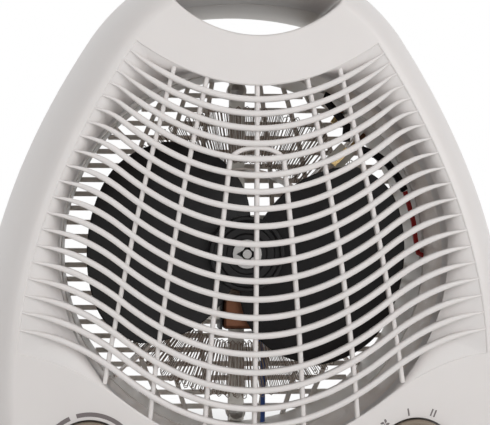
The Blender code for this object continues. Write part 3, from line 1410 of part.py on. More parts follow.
def build_connectors():
    """Sleeves that push the leads' ends onto the tabs."""
    places = [(name, place, SWITCH_DEPTH)
              for name, place in tab_places("selector", TAB_SPREAD).items()]
    places.append(("thermostat", tab_places("thermostat", TAB_SPREAD)["right"], STAT_DEPTH))
    for name, (x, z), depth in places:
        y = SEAT_BACK_Y + FIT + depth

        def block(bm, grow, low, high):
            add_box(bm, (x - TAB_HALF - grow, y + low, z - TAB / 2 - grow),
                    (x + TAB_HALF + grow, y + high, z + TAB / 2 + grow))
        sleeve = solid(f"connector_{name}",
                       lambda bm: block(bm, FIT + CONNECTOR_WALL, FIT, TAB_LENGTH + CONNECTOR_NECK),
                       CERAMIC)
        cut_away(sleeve, lambda bm: block(bm, FIT, -FIT, TAB_LENGTH + FIT))


# Dials, thermostat and switch

def build_dial(name, x):
    """Knob and spindle of one dial, on an axis of their own."""
    axis = axis_empty(f"{name}_axis", (x, SEAT_Y - RUN, DIAL_Z))
    depth, radius = KNOB_DEPTH, KNOB_RADIUS
    inner = radius - KNOB_WALL
    stem = SPINDLE_RADIUS + FIT
    profile = [(0, depth), (radius - KNOB_CHAMFER[0], depth),
               (radius, depth - KNOB_CHAMFER[1]), (radius, 0),
               (inner, 0), (inner, depth - KNOB_WALL), (2 * stem, depth - KNOB_WALL),
               (2 * stem, depth / 3), (stem, depth / 3), (stem, depth - KNOB_WALL / 2),
               (0, depth - KNOB_WALL / 2)]
    knob = turned(f"{name}_knob", profile, TAUPE, axis, steps=20)

    def grip(bm):
        long = radius - KNOB_WALL
        outline = [(-KNOB_GRIP_WIDTH / 2, -long), (KNOB_GRIP_WIDTH / 2, -long),
                   (KNOB_GRIP_WIDTH / 2, long), (0, long + KNOB_WALL / 2),
                   (-KNOB_GRIP_WIDTH / 2, long)]
        top = [(px * GRIP_TAPER[0], pz * GRIP_TAPER[1]) for px, pz in outline]
        add_loft(bm, [[(px, -(depth - KNOB_WALL / 4), pz) for px, pz in outline],
                      [(px, -KNOB_HEIGHT, pz) for px, pz in top]])
    grip_solid = solid(f"{name}_grip", grip, TAUPE, axis, tool=True)
    combine(knob, grip_solid, "UNION")
    tip = depth - KNOB_WALL / 2 - FIT
    turned(f"{name}_spindle", [(0, tip), (SPINDLE_RADIUS, tip), (SPINDLE_RADIUS, -SPINDLE_LENGTH),
                               (0, -SPINDLE_LENGTH)], BRIGHT, axis, steps=16)


def add_bush(bm, x, back):
    add_rod(bm, (x, SEAT_Y - NUT_REACH, DIAL_Z), (x, back, DIAL_Z), BUSH_RADIUS, 16)


def bore_dial(bm, x, back):
    add_rod(bm, (x, SEAT_Y - WALL * 2, DIAL_Z), (x, back, DIAL_Z), SPINDLE_RADIUS + RUN, 16)


def add_tabs(bm, places, y):
    for x, z in places:
        add_box(bm, (x - TAB_HALF, y - WALL, z - TAB / 2),
                (x + TAB_HALF, y + TAB_LENGTH, z + TAB / 2))


STAT_BACK_Y = SEAT_BACK_Y + FIT + STAT_DEPTH


def build_switch():
    x = DIALS["selector"]
    y = SEAT_BACK_Y + FIT
    back = y + SWITCH_DEPTH

    def body(bm):
        add_rod(bm, (x, y, DIAL_Z), (x, back, DIAL_Z), SWITCH_RADIUS, 24)
    places = tab_places("selector", TAB_SPREAD).values()
    switch = fused("rotary_switch", BLACK, body, lambda bm: add_bush(bm, x, y + WALL),
                   lambda bm: add_tabs(bm, places, back))
    cut_away(switch, lambda bm: bore_dial(bm, x, SPINDLE_END_Y + RUN))


def build_thermostat():
    x = DIALS["thermostat"]
    y = SEAT_BACK_Y + FIT
    plate = y + STAT_PLATE

    def base(bm):
        add_box(bm, (x - STAT_HALF_WIDTH, y, DIAL_Z - STAT_HALF_HEIGHT),
                (x + STAT_HALF_WIDTH, plate, DIAL_Z + STAT_HALF_HEIGHT))
    frame = fused("thermostat_frame", STEEL, base, lambda bm: add_bush(bm, x, plate + WALL))
    cut_away(frame, lambda bm: bore_dial(bm, x, plate + 2 * WALL))

    low = DIAL_Z - STAT_HALF_HEIGHT
    front = -(plate + FIT)
    disc, neck = STAT_STACK, STAT_STACK - STAT_GROOVE
    back = front - 3 * STAT_DISC
    turned("thermostat_stack", [
        (0, front), (disc, front), (disc, front - STAT_DISC), (neck, front - STAT_DISC),
        (neck, front - 2 * STAT_DISC), (disc, front - 2 * STAT_DISC), (disc, back), (0, back)],
        CERAMIC, location=(x, 0, low + STAT_STACK), steps=12)

    def leaf(bm):
        y0 = FIT - back
        add_box(bm, (x - STAT_STACK / 2, y0, low + LEAF_ENDS[0]),
                (x + STAT_STACK / 2, y0 + STRIP, DIAL_Z + STAT_HALF_HEIGHT - LEAF_ENDS[1]))

    def arm(bm):
        add_box(bm, (x, FIT - back + STRIP / 4, DIAL_Z - TAB_HALF),
                (x + TAB_SPREAD + TAB_HALF, FIT - back + STRIP * 3 / 4, DIAL_Z + TAB_HALF))

    def tab(bm):
        add_tabs(bm, [tab_places("thermostat", TAB_SPREAD)["right"]], STAT_BACK_Y)
    fused("thermostat_bimetal", BRASS, leaf, arm, tab)


def build_nuts():
    for name, x in DIALS.items():
        back = SEAT_Y - FIT
        nut = solid(f"{name}_nut", lambda bm: add_rod(
            bm, (x, back - NUT_THICK, DIAL_Z), (x, back, DIAL_Z), DIAL_NUT_RADIUS, 6), STEEL)
        cut_away(nut, lambda bm: add_rod(bm, (x, back - 2 * NUT_THICK, DIAL_Z),
                                         (x, back + NUT_THICK, DIAL_Z), BUSH_RADIUS + FIT, 16))


# Fixings, feet, lamp and gland

def build_feet():
    top = BASE_Z - FIT
    grip = BASE_Z + WALL + FIT
    profile = [(0, grip + FOOT_HEAD), (FOOT_STEM + FOOT_BARB, grip), (FOOT_STEM, grip), (FOOT_STEM, top),
               (FOOT_RADIUS, top), (FOOT_RADIUS, FOOT_BEVEL), (FOOT_RADIUS - FOOT_BEVEL, 0), (0, 0)]
    for row, y in (("front", FOOT_FRONT_Y), ("rear", FOOT_REAR_Y)):
        for hand, side in (("left", -1), ("right", 1)):
            turned(f"foot_{row}_{hand}", profile, RUBBER, location=(side * foot_x(), y, 0),
                   steps=10, facing="up")


def build_lamp():
    """Lens snapped into the face, square to it, with the lamp behind."""
    edge, skin = LENS_RADIUS, LENS_SKIN
    back = -WALL - FIT
    lens = turned("indicator_lens", [
        (0, LENS_DOME), (edge * 0.6, LENS_DOME * 0.8), (edge, 0), (edge, back), (edge + skin, back),
        (edge + skin, back - skin), (edge - skin, back - skin), (edge - skin, -skin), (0, -skin)],
        LENS,
        location=LENS_PLACE, steps=12)
    lamp = turned("neon_lamp", [
        (0, 0), *[(LAMP_RADIUS * share, -depth) for share, depth in LAMP_TIP],
        (LAMP_RADIUS, -LAMP_LENGTH), (0, -LAMP_LENGTH)], CERAMIC,
        location=LENS_PLACE - LENS_OUT * (skin + RUN), steps=12)
    for obj in (lens, lamp):
        obj.rotation_euler = (math.pi / 2 + LENS_TILT, 0, 0)


def build_gland():
    inside = -(BACK_Y - WALL - FIT)
    nose = GLAND_RADIUS
    reach, thick = GLAND_FLANGE
    turned("cord_gland", [
        (GLAND_BORE, inside + GLAND_BODY), (nose + reach, inside + thick),
        (nose + reach, inside), (nose, inside), (nose, -BACK_Y), (GLAND_BORE, -BACK_Y)],
        RUBBER, location=(GLAND_X, 0, GLAND_Z), steps=12)


build_front_shell()
build_rear_shell()
build_fan()
build_motor()
build_heater()
build_cutout()
build_leads()
for dial, dial_place in DIALS.items():
    build_dial(dial, dial_place)
build_switch()
build_thermostat()
build_nuts()
build_screws("shell_screw", POSTS, SCREW_SEAT_Y + FIT, SCREW_RADIUS, SCREW_LENGTH, -1)
build_feet()
build_lamp()
build_gland()
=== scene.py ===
"""Looks of an upright fan heater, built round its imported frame.

Metres, +Z up, the grille faces -Y: the frame's own axes.
"""
from __future__ import annotations

import json
import logging
from dataclasses import dataclass, field
from enum import Enum
from functools import cache
from math import acos, asin, atan, copysign, cos, hypot, pi, radians, sin, sqrt, tau
from typing import Callable, Iterable, Sequence

import bmesh
import bpy
import numpy as np
from mathutils import Matrix, Vector


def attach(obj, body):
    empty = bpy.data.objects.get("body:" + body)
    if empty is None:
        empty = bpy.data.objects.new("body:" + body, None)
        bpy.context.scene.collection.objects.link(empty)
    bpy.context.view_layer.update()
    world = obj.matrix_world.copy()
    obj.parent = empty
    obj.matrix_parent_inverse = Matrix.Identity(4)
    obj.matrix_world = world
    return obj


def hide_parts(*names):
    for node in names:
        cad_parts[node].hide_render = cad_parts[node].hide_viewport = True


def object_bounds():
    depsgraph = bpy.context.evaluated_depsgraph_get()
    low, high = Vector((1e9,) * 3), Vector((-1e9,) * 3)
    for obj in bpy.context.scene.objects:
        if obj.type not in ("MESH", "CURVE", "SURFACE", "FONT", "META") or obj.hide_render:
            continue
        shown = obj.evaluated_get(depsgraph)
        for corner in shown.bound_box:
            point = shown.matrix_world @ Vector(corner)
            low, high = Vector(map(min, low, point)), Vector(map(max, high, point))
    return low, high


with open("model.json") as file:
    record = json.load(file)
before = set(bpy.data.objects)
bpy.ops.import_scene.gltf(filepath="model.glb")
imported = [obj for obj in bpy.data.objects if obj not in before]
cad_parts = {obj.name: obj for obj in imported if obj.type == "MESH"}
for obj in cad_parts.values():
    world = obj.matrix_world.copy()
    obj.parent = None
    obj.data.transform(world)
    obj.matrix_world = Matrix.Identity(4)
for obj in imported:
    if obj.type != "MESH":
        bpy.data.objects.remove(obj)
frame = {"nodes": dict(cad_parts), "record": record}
CAD_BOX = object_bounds()

LOG = logging.getLogger("fan_heater")
MM = 0.001
FAR = 0.3  # past every side of the heater

Point = tuple[float, float, float]
Flat = tuple[float, float]
Colour = tuple[float, float, float]
BMesh = bmesh.types.BMesh
Object = bpy.types.Object


# Node trees

@dataclass(eq=False)
class Term:
    """A number in a node tree; Python arithmetic on it adds Math nodes."""

    graph: Graph
    socket: bpy.types.NodeSocket

    def math(self, operation: str, *others: Term | float, swapped: bool = False) -> Term:
        """Add a Math node on this number.

        Args:
            operation: The node's operation.
            others: Its further inputs.
            swapped: Put the first of them before this number.

        Returns:
            The node's result.
        """
        values = [self, *others]
        if swapped:
            values[0], values[1] = values[1], values[0]
        made = self.graph.node("ShaderNodeMath", {"operation": operation}, dict(enumerate(values)))
        return made.out()

    def __add__(self, other: Term | float) -> Term:
        """Sum."""
        return self.math("ADD", other)

    __radd__ = __add__

    def __sub__(self, other: Term | float) -> Term:
        """Difference."""
        return self.math("SUBTRACT", other)

    def __rsub__(self, other: Term | float) -> Term:
        """Difference from a number."""
        return self.math("SUBTRACT", other, swapped=True)

    def __mul__(self, other: Term | float) -> Term:
        """Product."""
        return self.math("MULTIPLY", other)

    __rmul__ = __mul__

    def __truediv__(self, other: Term | float) -> Term:
        """Quotient."""
        return self.math("DIVIDE", other)

    def __mod__(self, other: Term | float) -> Term:
        """Remainder, never negative."""
        return self.math("FLOORED_MODULO", other)

    def held(self, low: float = 0.0, high: float = 1.0) -> Term:
        """This number kept between two others."""
        return self.math("MAXIMUM", low).math("MINIMUM", high)


@dataclass(eq=False)
class Made:
    """A node that was just added."""

    graph: Graph
    node: bpy.types.Node

    def out(self, key: int | str = 0) -> Term:
        """One of the node's outputs."""
        return Term(self.graph, self.node.outputs[key])


Value = Term | Made | float | int | bool | str | tuple | bpy.types.ID
Inputs = dict[int | str, Value]
PLAIN, MIXED, BUSY = 2.0, 3.0, 4.0  # octaves of a noise


class Graph:
    """A node tree that is filled by code."""

    def __init__(self, tree: bpy.types.NodeTree) -> None:
        """Empty the tree."""
        self.tree = tree
        tree.nodes.clear()

    def node(self, kind: str, settings: dict[str, object] | None = None,
             inputs: Inputs | None = None) -> Made:
        """Add a node.

        Args:
            kind: The node's type.
            settings: Its properties, and "stops" for a ramp: (place, grey or colour) pairs.
            inputs: Values or links by socket name or number.

        Returns:
            The node.
        """
        node = self.tree.nodes.new(kind)
        for name, value in (settings or {}).items():
            if name == "stops":
                self._set_stops(node.color_ramp, value)
            else:
                setattr(node, name, value)
        for key, value in (inputs or {}).items():
            if isinstance(value, Made):
                value = value.out()
            if isinstance(value, Term):
                self.tree.links.new(value.socket, node.inputs[key])
            else:
                node.inputs[key].default_value = value
        return Made(self, node)

    @staticmethod
    def _set_stops(ramp: bpy.types.ColorRamp, stops: Sequence[tuple]) -> None:
        """Write a ramp's stops.

        Args:
            ramp: The ramp.
            stops: A place with a grey or a colour for each.
        """
        while len(ramp.elements) < len(stops):
            ramp.elements.new(1.0)
        for element, (place, tint) in zip(ramp.elements, stops):
            element.position = place
            element.color = (tint, tint, tint, 1) if isinstance(tint, float) else (*tint, 1)

    def place(self) -> Term:
        """The point that is shaded, in the object's own metres."""
        return self.node("ShaderNodeTexCoord").out("Object")

    def noise(self, size: float, detail: float = PLAIN, where: Term | None = None) -> Term:
        """Noise whose patches are about as large as size, from 0 to 1."""
        return self.node("ShaderNodeTexNoise", None, {
            "Vector": where or self.place(), "Scale": 1 / size, "Detail": detail}).out("Fac")

    def stretched(self, scale: Point) -> Term:
        """The shaded point with each axis scaled."""
        return self.node("ShaderNodeMapping", None, {"Vector": self.place(), "Scale": scale}).out()

    def tint(self, share: Term, low: Colour, high: Colour) -> Term:
        """A colour between two others."""
        return self.node("ShaderNodeMix", {"data_type": "RGBA"}, {
            0: share, 6: (*low, 1), 7: (*high, 1)}).out(2)

    def bump(self, height: Term, depth: float) -> Term:
        """A normal bent by a height from 0 to 1 that is so many metres deep."""
        return self.node("ShaderNodeBump", None, {
            "Height": height, "Distance": depth, "Strength": 1.0}).out()

    def skin(self, tint: Term, rough: Term, height: Term, depth: float) -> Inputs:
        """Shader values from a colour, a roughness and a relief that is so many metres deep."""
        return {"Base Color": tint, "Roughness": rough.held(), "Normal": self.bump(height, depth)}


def scaled(tint: Colour, share: float) -> Colour:
    """A colour made lighter or darker."""
    return tuple(min(1.0, c * share) for c in tint)


# Finishes

@dataclass(frozen=True)
class Coating:
    """A Principled material that is described by a few numbers."""

    slot: str

    def make(self) -> bpy.types.Material:
        """Build the material.

        Returns:
            The material.
        """
        made = bpy.data.materials.new(self.slot)
        made.use_nodes = True
        graph = Graph(made.node_tree)
        shader = graph.node("ShaderNodeBsdfPrincipled", None,
                            {**self.fixed(), **self.varied(graph)})
        graph.node("ShaderNodeOutputMaterial", None, {"Surface": shader})
        return made

    def fixed(self) -> Inputs:
        """Shader values that are the same all over."""
        return {}

    def varied(self, graph: Graph) -> Inputs:
        """Shader values that change over the surface."""
        raise NotImplementedError


@dataclass(frozen=True)
class Moulding(Coating):
    """Injection-moulded plastic: a spark-eroded grain, slow mottling and a satin skin."""

    colour: Colour
    roughness: float
    grain: float = 0.5 * MM
    relief: float = 0.012 * MM
    mottle: float = 0.03
    patch: float = 22 * MM
    uneven: Flat = (0.10, 0.08)  # roughness that the patches and the grain add
    specular: float = 0.5
    through: float = 0.0  # share of the light that soaks in
    soak: float = 2.5 * MM
    soak_tint: Colour = (1.0, 0.8, 0.7)

    def fixed(self) -> Inputs:
        """The gloss, and the light that soaks in.

        Returns:
            Shader values by name.
        """
        values: Inputs = {"Specular IOR Level": self.specular}
        if self.through:
            values.update({"Subsurface Weight": self.through, "Subsurface Scale": self.soak,
                           "Subsurface Radius": self.soak_tint})
        return values

    def varied(self, graph: Graph) -> Inputs:
        """The mottled colour and the grained skin.

        Args:
            graph: The tree to fill.

        Returns:
            Shader values by name.
        """
        slow, fine = graph.noise(self.patch, MIXED), graph.noise(self.grain)
        rough = self.roughness + self.uneven[0] * (slow - 0.5) + self.uneven[1] * (fine - 0.5)
        tint = graph.tint(slow, scaled(self.colour, 1 - self.mottle),
                          scaled(self.colour, 1 + self.mottle))
        return graph.skin(tint, rough, fine, self.relief)


@dataclass(frozen=True)
class Plating(Coating):
    """Bare or plated metal with a drawn grain, smudges and a little oxide."""

    colour: Colour
    roughness: float
    oxide: Colour = (0.30, 0.26, 0.22)
    oxide_share: float = 0.15
    drawn: Point = (1.0, 1.0, 12.0)  # the grain is longest along the smallest number
    line: float = 0.8 * MM
    relief: float = 0.01 * MM
    stain: float = 6 * MM
    stain_edge: Flat = (0.45, 0.75)
    uneven: Flat = (0.22, 0.3)  # roughness that the grain and the stains add

    def fixed(self) -> Inputs:
        """Metal all over."""
        return {"Metallic": 1.0}

    def varied(self, graph: Graph) -> Inputs:
        """The stained colour and the drawn grain.

        Args:
            graph: The tree to fill.

        Returns:
            Shader values by name.
        """
        lines = graph.noise(self.line, MIXED, graph.stretched(self.drawn))
        stops = list(zip(self.stain_edge, (0.0, 1.0)))
        stain = graph.node("ShaderNodeValToRGB", {"stops": stops},
                           {"Fac": graph.noise(self.stain, BUSY)}).out() * self.oxide_share
        rough = self.roughness + self.uneven[0] * (lines - 0.5) + self.uneven[1] * stain
        return graph.skin(graph.tint(stain, self.colour, self.oxide), rough, lines, self.relief)


@dataclass(frozen=True)
class HeatedWire(Coating):
    """Resistance wire: dark oxide with brighter stretches where it ran hottest."""

    colour: Colour
    bright: Colour
    stretch: float = 5 * MM
    contrast: Flat = (1.6, 0.32)  # gain and threshold of the brighter stretches
    grain: float = 0.4 * MM
    relief: float = 0.02 * MM
    roughness: Flat = (0.28, 0.3)  # the least, and what the grain adds

    def fixed(self) -> Inputs:
        """Metal all over."""
        return {"Metallic": 1.0}

    def varied(self, graph: Graph) -> Inputs:
        """The stretches and the scale on them.

        Args:
            graph: The tree to fill.

        Returns:
            Shader values by name.
        """
        gain, threshold = self.contrast
        share = (gain * (graph.noise(self.stretch) - threshold)).held()
        fine = graph.noise(self.grain)
        return graph.skin(graph.tint(share, self.colour, self.bright),
                          self.roughness[0] + self.roughness[1] * fine, fine, self.relief)


@dataclass(frozen=True)
class MicaSheet(Coating):
    """Pressed mica: overlapping pearly flakes, a few creases and a pale brown body."""

    pale: Colour
    warm: Colour
    flake: float = 2.6 * MM
    cloud: float = 14 * MM
    crease: float = 4 * MM
    stretch: Point = (1.0, 0.18, 1.0)  # the creases run along Y
    blend: Flat = (0.35, 0.65)  # flakes and clouds in the colour
    lift: Flat = (0.5, 1.5)  # flakes in the relief, and its highest value
    relief: float = 0.12 * MM
    roughness: Flat = (0.32, 0.25)  # the least, and what the flakes add
    coat: Flat = (0.25, 0.2)

    def fixed(self) -> Inputs:
        """The pearly coat."""
        return {"Coat Weight": self.coat[0], "Coat Roughness": self.coat[1]}

    def varied(self, graph: Graph) -> Inputs:
        """The flakes, the clouds in their colour and the creases.

        Args:
            graph: The tree to fill.

        Returns:
            Shader values by name.
        """
        flakes = graph.node("ShaderNodeTexVoronoi", None, {
            "Vector": graph.place(), "Scale": 1 / self.flake, "Randomness": 1.0})
        shade = graph.node("ShaderNodeSeparateColor", None, {"Color": flakes.out("Color")}).out()
        cloud = graph.noise(self.cloud, BUSY)
        crease = graph.noise(self.crease, MIXED, graph.stretched(self.stretch))
        share = (self.blend[0] * shade + self.blend[1] * cloud).held()
        height = (self.lift[0] * shade + crease).held(0.0, self.lift[1])
        return graph.skin(graph.tint(share, self.warm, self.pale),
                          self.roughness[0] + self.roughness[1] * shade, height, self.relief)


@dataclass(frozen=True)
class Sleeving(Coating):
    """Insulation of a lead: a soft sheen, faint extrusion lines and dust."""

    colour: Colour
    dust: Colour = (0.45, 0.43, 0.40)
    dust_share: Point = (0.5, 0.55, 0.2)  # gain, threshold and limit of the dust
    patch: float = 2.5 * MM
    grain: float = 0.3 * MM
    relief: float = 0.008 * MM
    roughness: Flat = (0.30, 0.2)  # the least, and what the patches add

    def varied(self, graph: Graph) -> Inputs:
        """The dusty colour and the sheen.

        Args:
            graph: The tree to fill.

        Returns:
            Shader values by name.
        """
        soft = graph.noise(self.patch, MIXED)
        gain, threshold, limit = self.dust_share
        share = (gain * (soft - threshold)).held(0.0, limit)
        return graph.skin(graph.tint(share, self.colour, self.dust),
                          self.roughness[0] + self.roughness[1] * soft,
                          graph.noise(self.grain), self.relief)


@dataclass(frozen=True)
class Ceramic(Coating):
    """Unglazed ceramic or fibre board: speckled, matt and slightly rough."""

    colour: Colour
    shade: float = 0.82
    speck: float = 0.7 * MM
    cloud: float = 7 * MM
    relief: float = 0.03 * MM
    roughness: Flat = (0.55, 0.2)  # the least, and what the specks add

    def varied(self, graph: Graph) -> Inputs:
        """The specks and the clouds under them.

        Args:
            graph: The tree to fill.

        Returns:
            Shader values by name.
        """
        speck, cloud = graph.noise(self.speck, BUSY), graph.noise(self.cloud)
        share = (0.5 * speck + 0.5 * cloud).held()
        return graph.skin(graph.tint(share, scaled(self.colour, self.shade), self.colour),
                          self.roughness[0] + self.roughness[1] * speck, speck, self.relief)


@dataclass(frozen=True)
class Lens(Coating):
    """Tinted clear plastic of the indicator."""

    colour: Colour
    shade: float = 0.85
    clear: float = 0.35
    bend: float = 1.5  # index of refraction
    grain: float = 0.8 * MM
    relief: float = 0.01 * MM
    roughness: Flat = (0.08, 0.08)  # the least, and what the grain adds

    def fixed(self) -> Inputs:
        """The clearness."""
        return {"Transmission Weight": self.clear, "IOR": self.bend}

    def varied(self, graph: Graph) -> Inputs:
        """A slightly uneven tint and gloss.

        Args:
            graph: The tree to fill.

        Returns:
            Shader values by name.
        """
        fine = graph.noise(self.grain)
        return graph.skin(graph.tint(fine, scaled(self.colour, self.shade), self.colour),
                          self.roughness[0] + self.roughness[1] * fine, fine, self.relief)


class Finish(Enum):
    """Every finish on the heater, by the record's slot."""

    SHELL = Moulding("ivory_shell", (0.730, 0.695, 0.680), 0.40, through=0.08)
    # Lighter than the front shell's ivory: painted light, standing in for the light that shines
    # through the thin rear bars from behind.
    REAR_SHELL = Moulding("ivory_rear_painted_backlight", (0.86, 0.82, 0.78), 0.42, through=0.1)
    BLACK = Moulding("black_plastic", (0.013, 0.012, 0.013), 0.36, mottle=0.15, relief=0.02 * MM,
                     specular=0.32)
    KNOB = Moulding("taupe_knob", (0.205, 0.160, 0.118), 0.33, mottle=0.05)
    RUBBER = Moulding("rubber", (0.045, 0.045, 0.045), 0.78, grain=0.3 * MM, relief=0.05 * MM,
                      mottle=0.12, specular=0.3)
    PRINT = Moulding("print", (0.175, 0.150, 0.150), 0.5, mottle=0.05, relief=0.006 * MM)
    ZINC = Plating("zinc_steel", (0.58, 0.56, 0.52), 0.33)
    BRIGHT = Plating("bright_steel", (0.46, 0.45, 0.44), 0.30, oxide_share=0.08)
    BRASS = Plating("brass", (0.76, 0.56, 0.27), 0.28, oxide=(0.35, 0.2, 0.1))
    COPPER = Plating("copper", (0.22, 0.10, 0.06), 0.38, oxide=(0.10, 0.04, 0.02))
    HEATING = HeatedWire("heating_alloy", (0.20, 0.15, 0.12), (0.66, 0.58, 0.52))
    MICA = MicaSheet("mica", (0.93, 0.86, 0.81), (0.80, 0.68, 0.60))
    CERAMIC = Ceramic("ceramic", (0.80, 0.77, 0.70))
    RED = Sleeving("red_insulation", (0.50, 0.022, 0.020))
    BLUE = Sleeving("blue_insulation", (0.045, 0.12, 0.42))
    BROWN = Sleeving("brown_insulation", (0.19, 0.085, 0.04))
    LENS = Lens("lamp_lens", (0.85, 0.18, 0.06))


@cache
def material(finish: Finish) -> bpy.types.Material:
    """The material of a finish, made once."""
    return finish.value.make()


def dress(obj: Object, finish: Finish) -> None:
    """Give an object one finish all over."""
    obj.data.materials.clear()
    obj.data.materials.append(material(finish))


# Meshes

Fill = Callable[[BMesh], None]
WIRE_SIDES, SHANK_SIDES, BORE_SIDES, ROD_SIDES = 10, 16, 20, 32
WELL_SIDES, RING_SIDES, HUB_SIDES, DUCT_SIDES = 40, 48, 96, 144
CORNER_CUTS = 3  # segments of a rounded edge
NEARLY_STRAIGHT = 2.9  # radians; wider corners of a profile stay
HALVINGS = (30, 40)  # steps of the searches by halving


def link(name: str, mesh: bpy.types.Mesh) -> Object:
    """Put a mesh in the scene.

    Args:
        name: The object's name.
        mesh: Its mesh.

    Returns:
        The object.
    """
    obj = bpy.data.objects.new(name, mesh)
    bpy.context.scene.collection.objects.link(obj)
    return obj


def forge(name: str, fill: Fill) -> Object:
    """Make an object from a function that fills a mesh.

    Args:
        name: The object's name.
        fill: Adds the faces.

    Returns:
        The object, with its faces turned outwards.
    """
    bm = bmesh.new()
    fill(bm)
    bmesh.ops.recalc_face_normals(bm, faces=bm.faces)
    mesh = bpy.data.meshes.new(name)
    bm.to_mesh(mesh)
    bm.free()
    return link(name, mesh)


def settle(obj: Object) -> Object:
    """Turn an object's modifiers into plain mesh.

    Args:
        obj: The object.

    Returns:
        The same object.
    """
    graph = bpy.context.evaluated_depsgraph_get()
    mesh = bpy.data.meshes.new_from_object(obj.evaluated_get(graph))
    obj.modifiers.clear()
    obj.data = mesh
    return obj


def boolean(obj: Object, operation: str, *tools: Object) -> None:
    """Cut, join or trim an object with others, which are used up.

    Args:
        obj: The object.
        operation: UNION, DIFFERENCE or INTERSECT.
        tools: The others.
    """
    for tool in tools:
        step = obj.modifiers.new(tool.name, "BOOLEAN")
        step.operation, step.solver, step.object = operation, "EXACT", tool
    settle(obj)
    for tool in tools:
        bpy.data.objects.remove(tool, do_unlink=True)


def polish(obj: Object, angle: float = 32.0) -> Object:
    """Shade smooth, with edges sharper than an angle in degrees kept.

    Args:
        obj: The object.
        angle: The angle.

    Returns:
        The same object.
    """
    obj.data.shade_smooth()
    obj.data.set_sharp_from_angle(angle=radians(angle))
    weigh = obj.modifiers.new("weigh", "WEIGHTED_NORMAL")
    weigh.keep_sharp = True
    return settle(obj)


def round_edges(obj: Object, width: float, angle: float = 40.0) -> Object:
    """Round the edges that are sharper than an angle in degrees.

    Args:
        obj: The object.
        width: Width of the rounding.
        angle: The angle.

    Returns:
        The same object.
    """
    bevel = obj.modifiers.new("rounded", "BEVEL")
    bevel.width, bevel.segments = width, CORNER_CUTS
    bevel.limit_method, bevel.angle_limit = "ANGLE", radians(angle)
    return settle(obj)


def add_loft(bm: BMesh, rings: Sequence[Sequence[Point]],
             closed: bool = False) -> None:
    """Skin rings of equal counts, capped, or joined last to first.

    Args:
        bm: The mesh to fill.
        rings: Points of each ring.
        closed: Join the last ring to the first.
    """
    loops = [[bm.verts.new(p) for p in ring] for ring in rings]
    pairs = list(zip(loops, loops[1:])) + ([(loops[-1], loops[0])] if closed else [])
    count = len(loops[0])
    for lower, upper in pairs:
        for i in range(count):
            j = (i + 1) % count
            bm.faces.new((lower[i], lower[j], upper[j], upper[i]))
    if not closed:
        bm.faces.new(loops[0])
        bm.faces.new(loops[-1][::-1])


def add_prism(bm: BMesh, outline: Sequence[Flat], front: float, back: float) -> None:
    """Solid between two depths with an (x, z) outline."""
    add_loft(bm, [[(x, y, z) for x, z in outline] for y in (front, back)])


def add_rod(bm: BMesh, start: Sequence[float], end: Sequence[float], radius: float,
            steps: int = ROD_SIDES) -> None:
    """Cylinder between two points.

    Args:
        bm: The mesh to fill.
        start: The middle of one end.
        end: The middle of the other end.
        radius: The radius.
        steps: Number of its sides.
    """
    first, last = Vector(start), Vector(end)
    turn = (last - first).to_track_quat("Z", "Y").to_matrix().to_4x4()
    bmesh.ops.create_cone(bm, cap_ends=True, segments=steps, radius1=radius, radius2=radius,
                          depth=(last - first).length,
                          matrix=Matrix.Translation((first + last) / 2) @ turn)


def add_box(bm: BMesh, low: Sequence[float], high: Sequence[float]) -> None:
    """Box between two corners.

    Args:
        bm: The mesh to fill.
        low: The corner with the lowest numbers.
        high: The opposite corner.
    """
    first, last = Vector(low), Vector(high)
    bmesh.ops.create_cube(bm, size=1.0, matrix=Matrix.Translation((first + last) / 2)
                          @ Matrix.Diagonal((*(last - first), 1)))


def add_lathe(bm: BMesh, profile: Sequence[Flat], centre: Flat, steps: int = 64,
              wave: Callable[[float, float], float] = lambda angle, y: 0.0) -> None:
    """Turn a closed profile round a line along Y.

    Args:
        bm: The mesh to fill.
        profile: (radius, y) points; a radius of 0 closes the end.
        centre: The line's x and z.
        steps: Sides of the result.
        wave: Change of the radius by angle and y.
    """
    rows: list[list[bmesh.types.BMVert]] = []
    for radius, y in profile:
        if radius <= 0:
            rows.append([bm.verts.new((centre[0], y, centre[1]))] * steps)
            continue
        row = []
        for i in range(steps):
            angle = 2 * pi * i / steps
            r = radius + wave(angle, y)
            row.append(bm.verts.new((centre[0] + r * cos(angle), y,
                                     centre[1] + r * sin(angle))))
        rows.append(row)
    for lower, upper in zip(rows, rows[1:] + rows[:1]):
        for i in range(steps):
            j = (i + 1) % steps
            corners = list(dict.fromkeys((lower[i], lower[j], upper[j], upper[i])))
            if len(corners) > 2:
                bm.faces.new(corners)


def bent(start: Sequence[float], tip: Sequence[float], end: Sequence[float], t: float) -> Flat:
    """A point on the curve from start to end that leans to the tip, at t from 0 to 1."""
    return tuple((1 - t) ** 2 * a + 2 * t * (1 - t) * b + t * t * c
                 for a, b, c in zip(start, tip, end))


def rounded(profile: Sequence[Flat], radius: float, steps: int = 4) -> list[Flat]:
    """Round the corners of a closed profile that lie off its axis.

    Args:
        profile: Points of the profile.
        radius: How far a corner is cut back.
        steps: Parts of a rounded corner.

    Returns:
        The new profile.
    """
    result: list[Flat] = []
    count = len(profile)
    for i, point in enumerate(profile):
        here = Vector(point)
        before, after = Vector(profile[i - 1]) - here, Vector(profile[(i + 1) % count]) - here
        reach = min(radius, before.length / 2.2, after.length / 2.2)
        if point[0] <= 0 or reach <= 0 or before.angle(after, pi) > NEARLY_STRAIGHT:
            result.append(point)
            continue
        a, b = here + before.normalized() * reach, here + after.normalized() * reach
        result += [bent(a, here, b, k / steps) for k in range(steps + 1)]
    return result


# Geometry Nodes

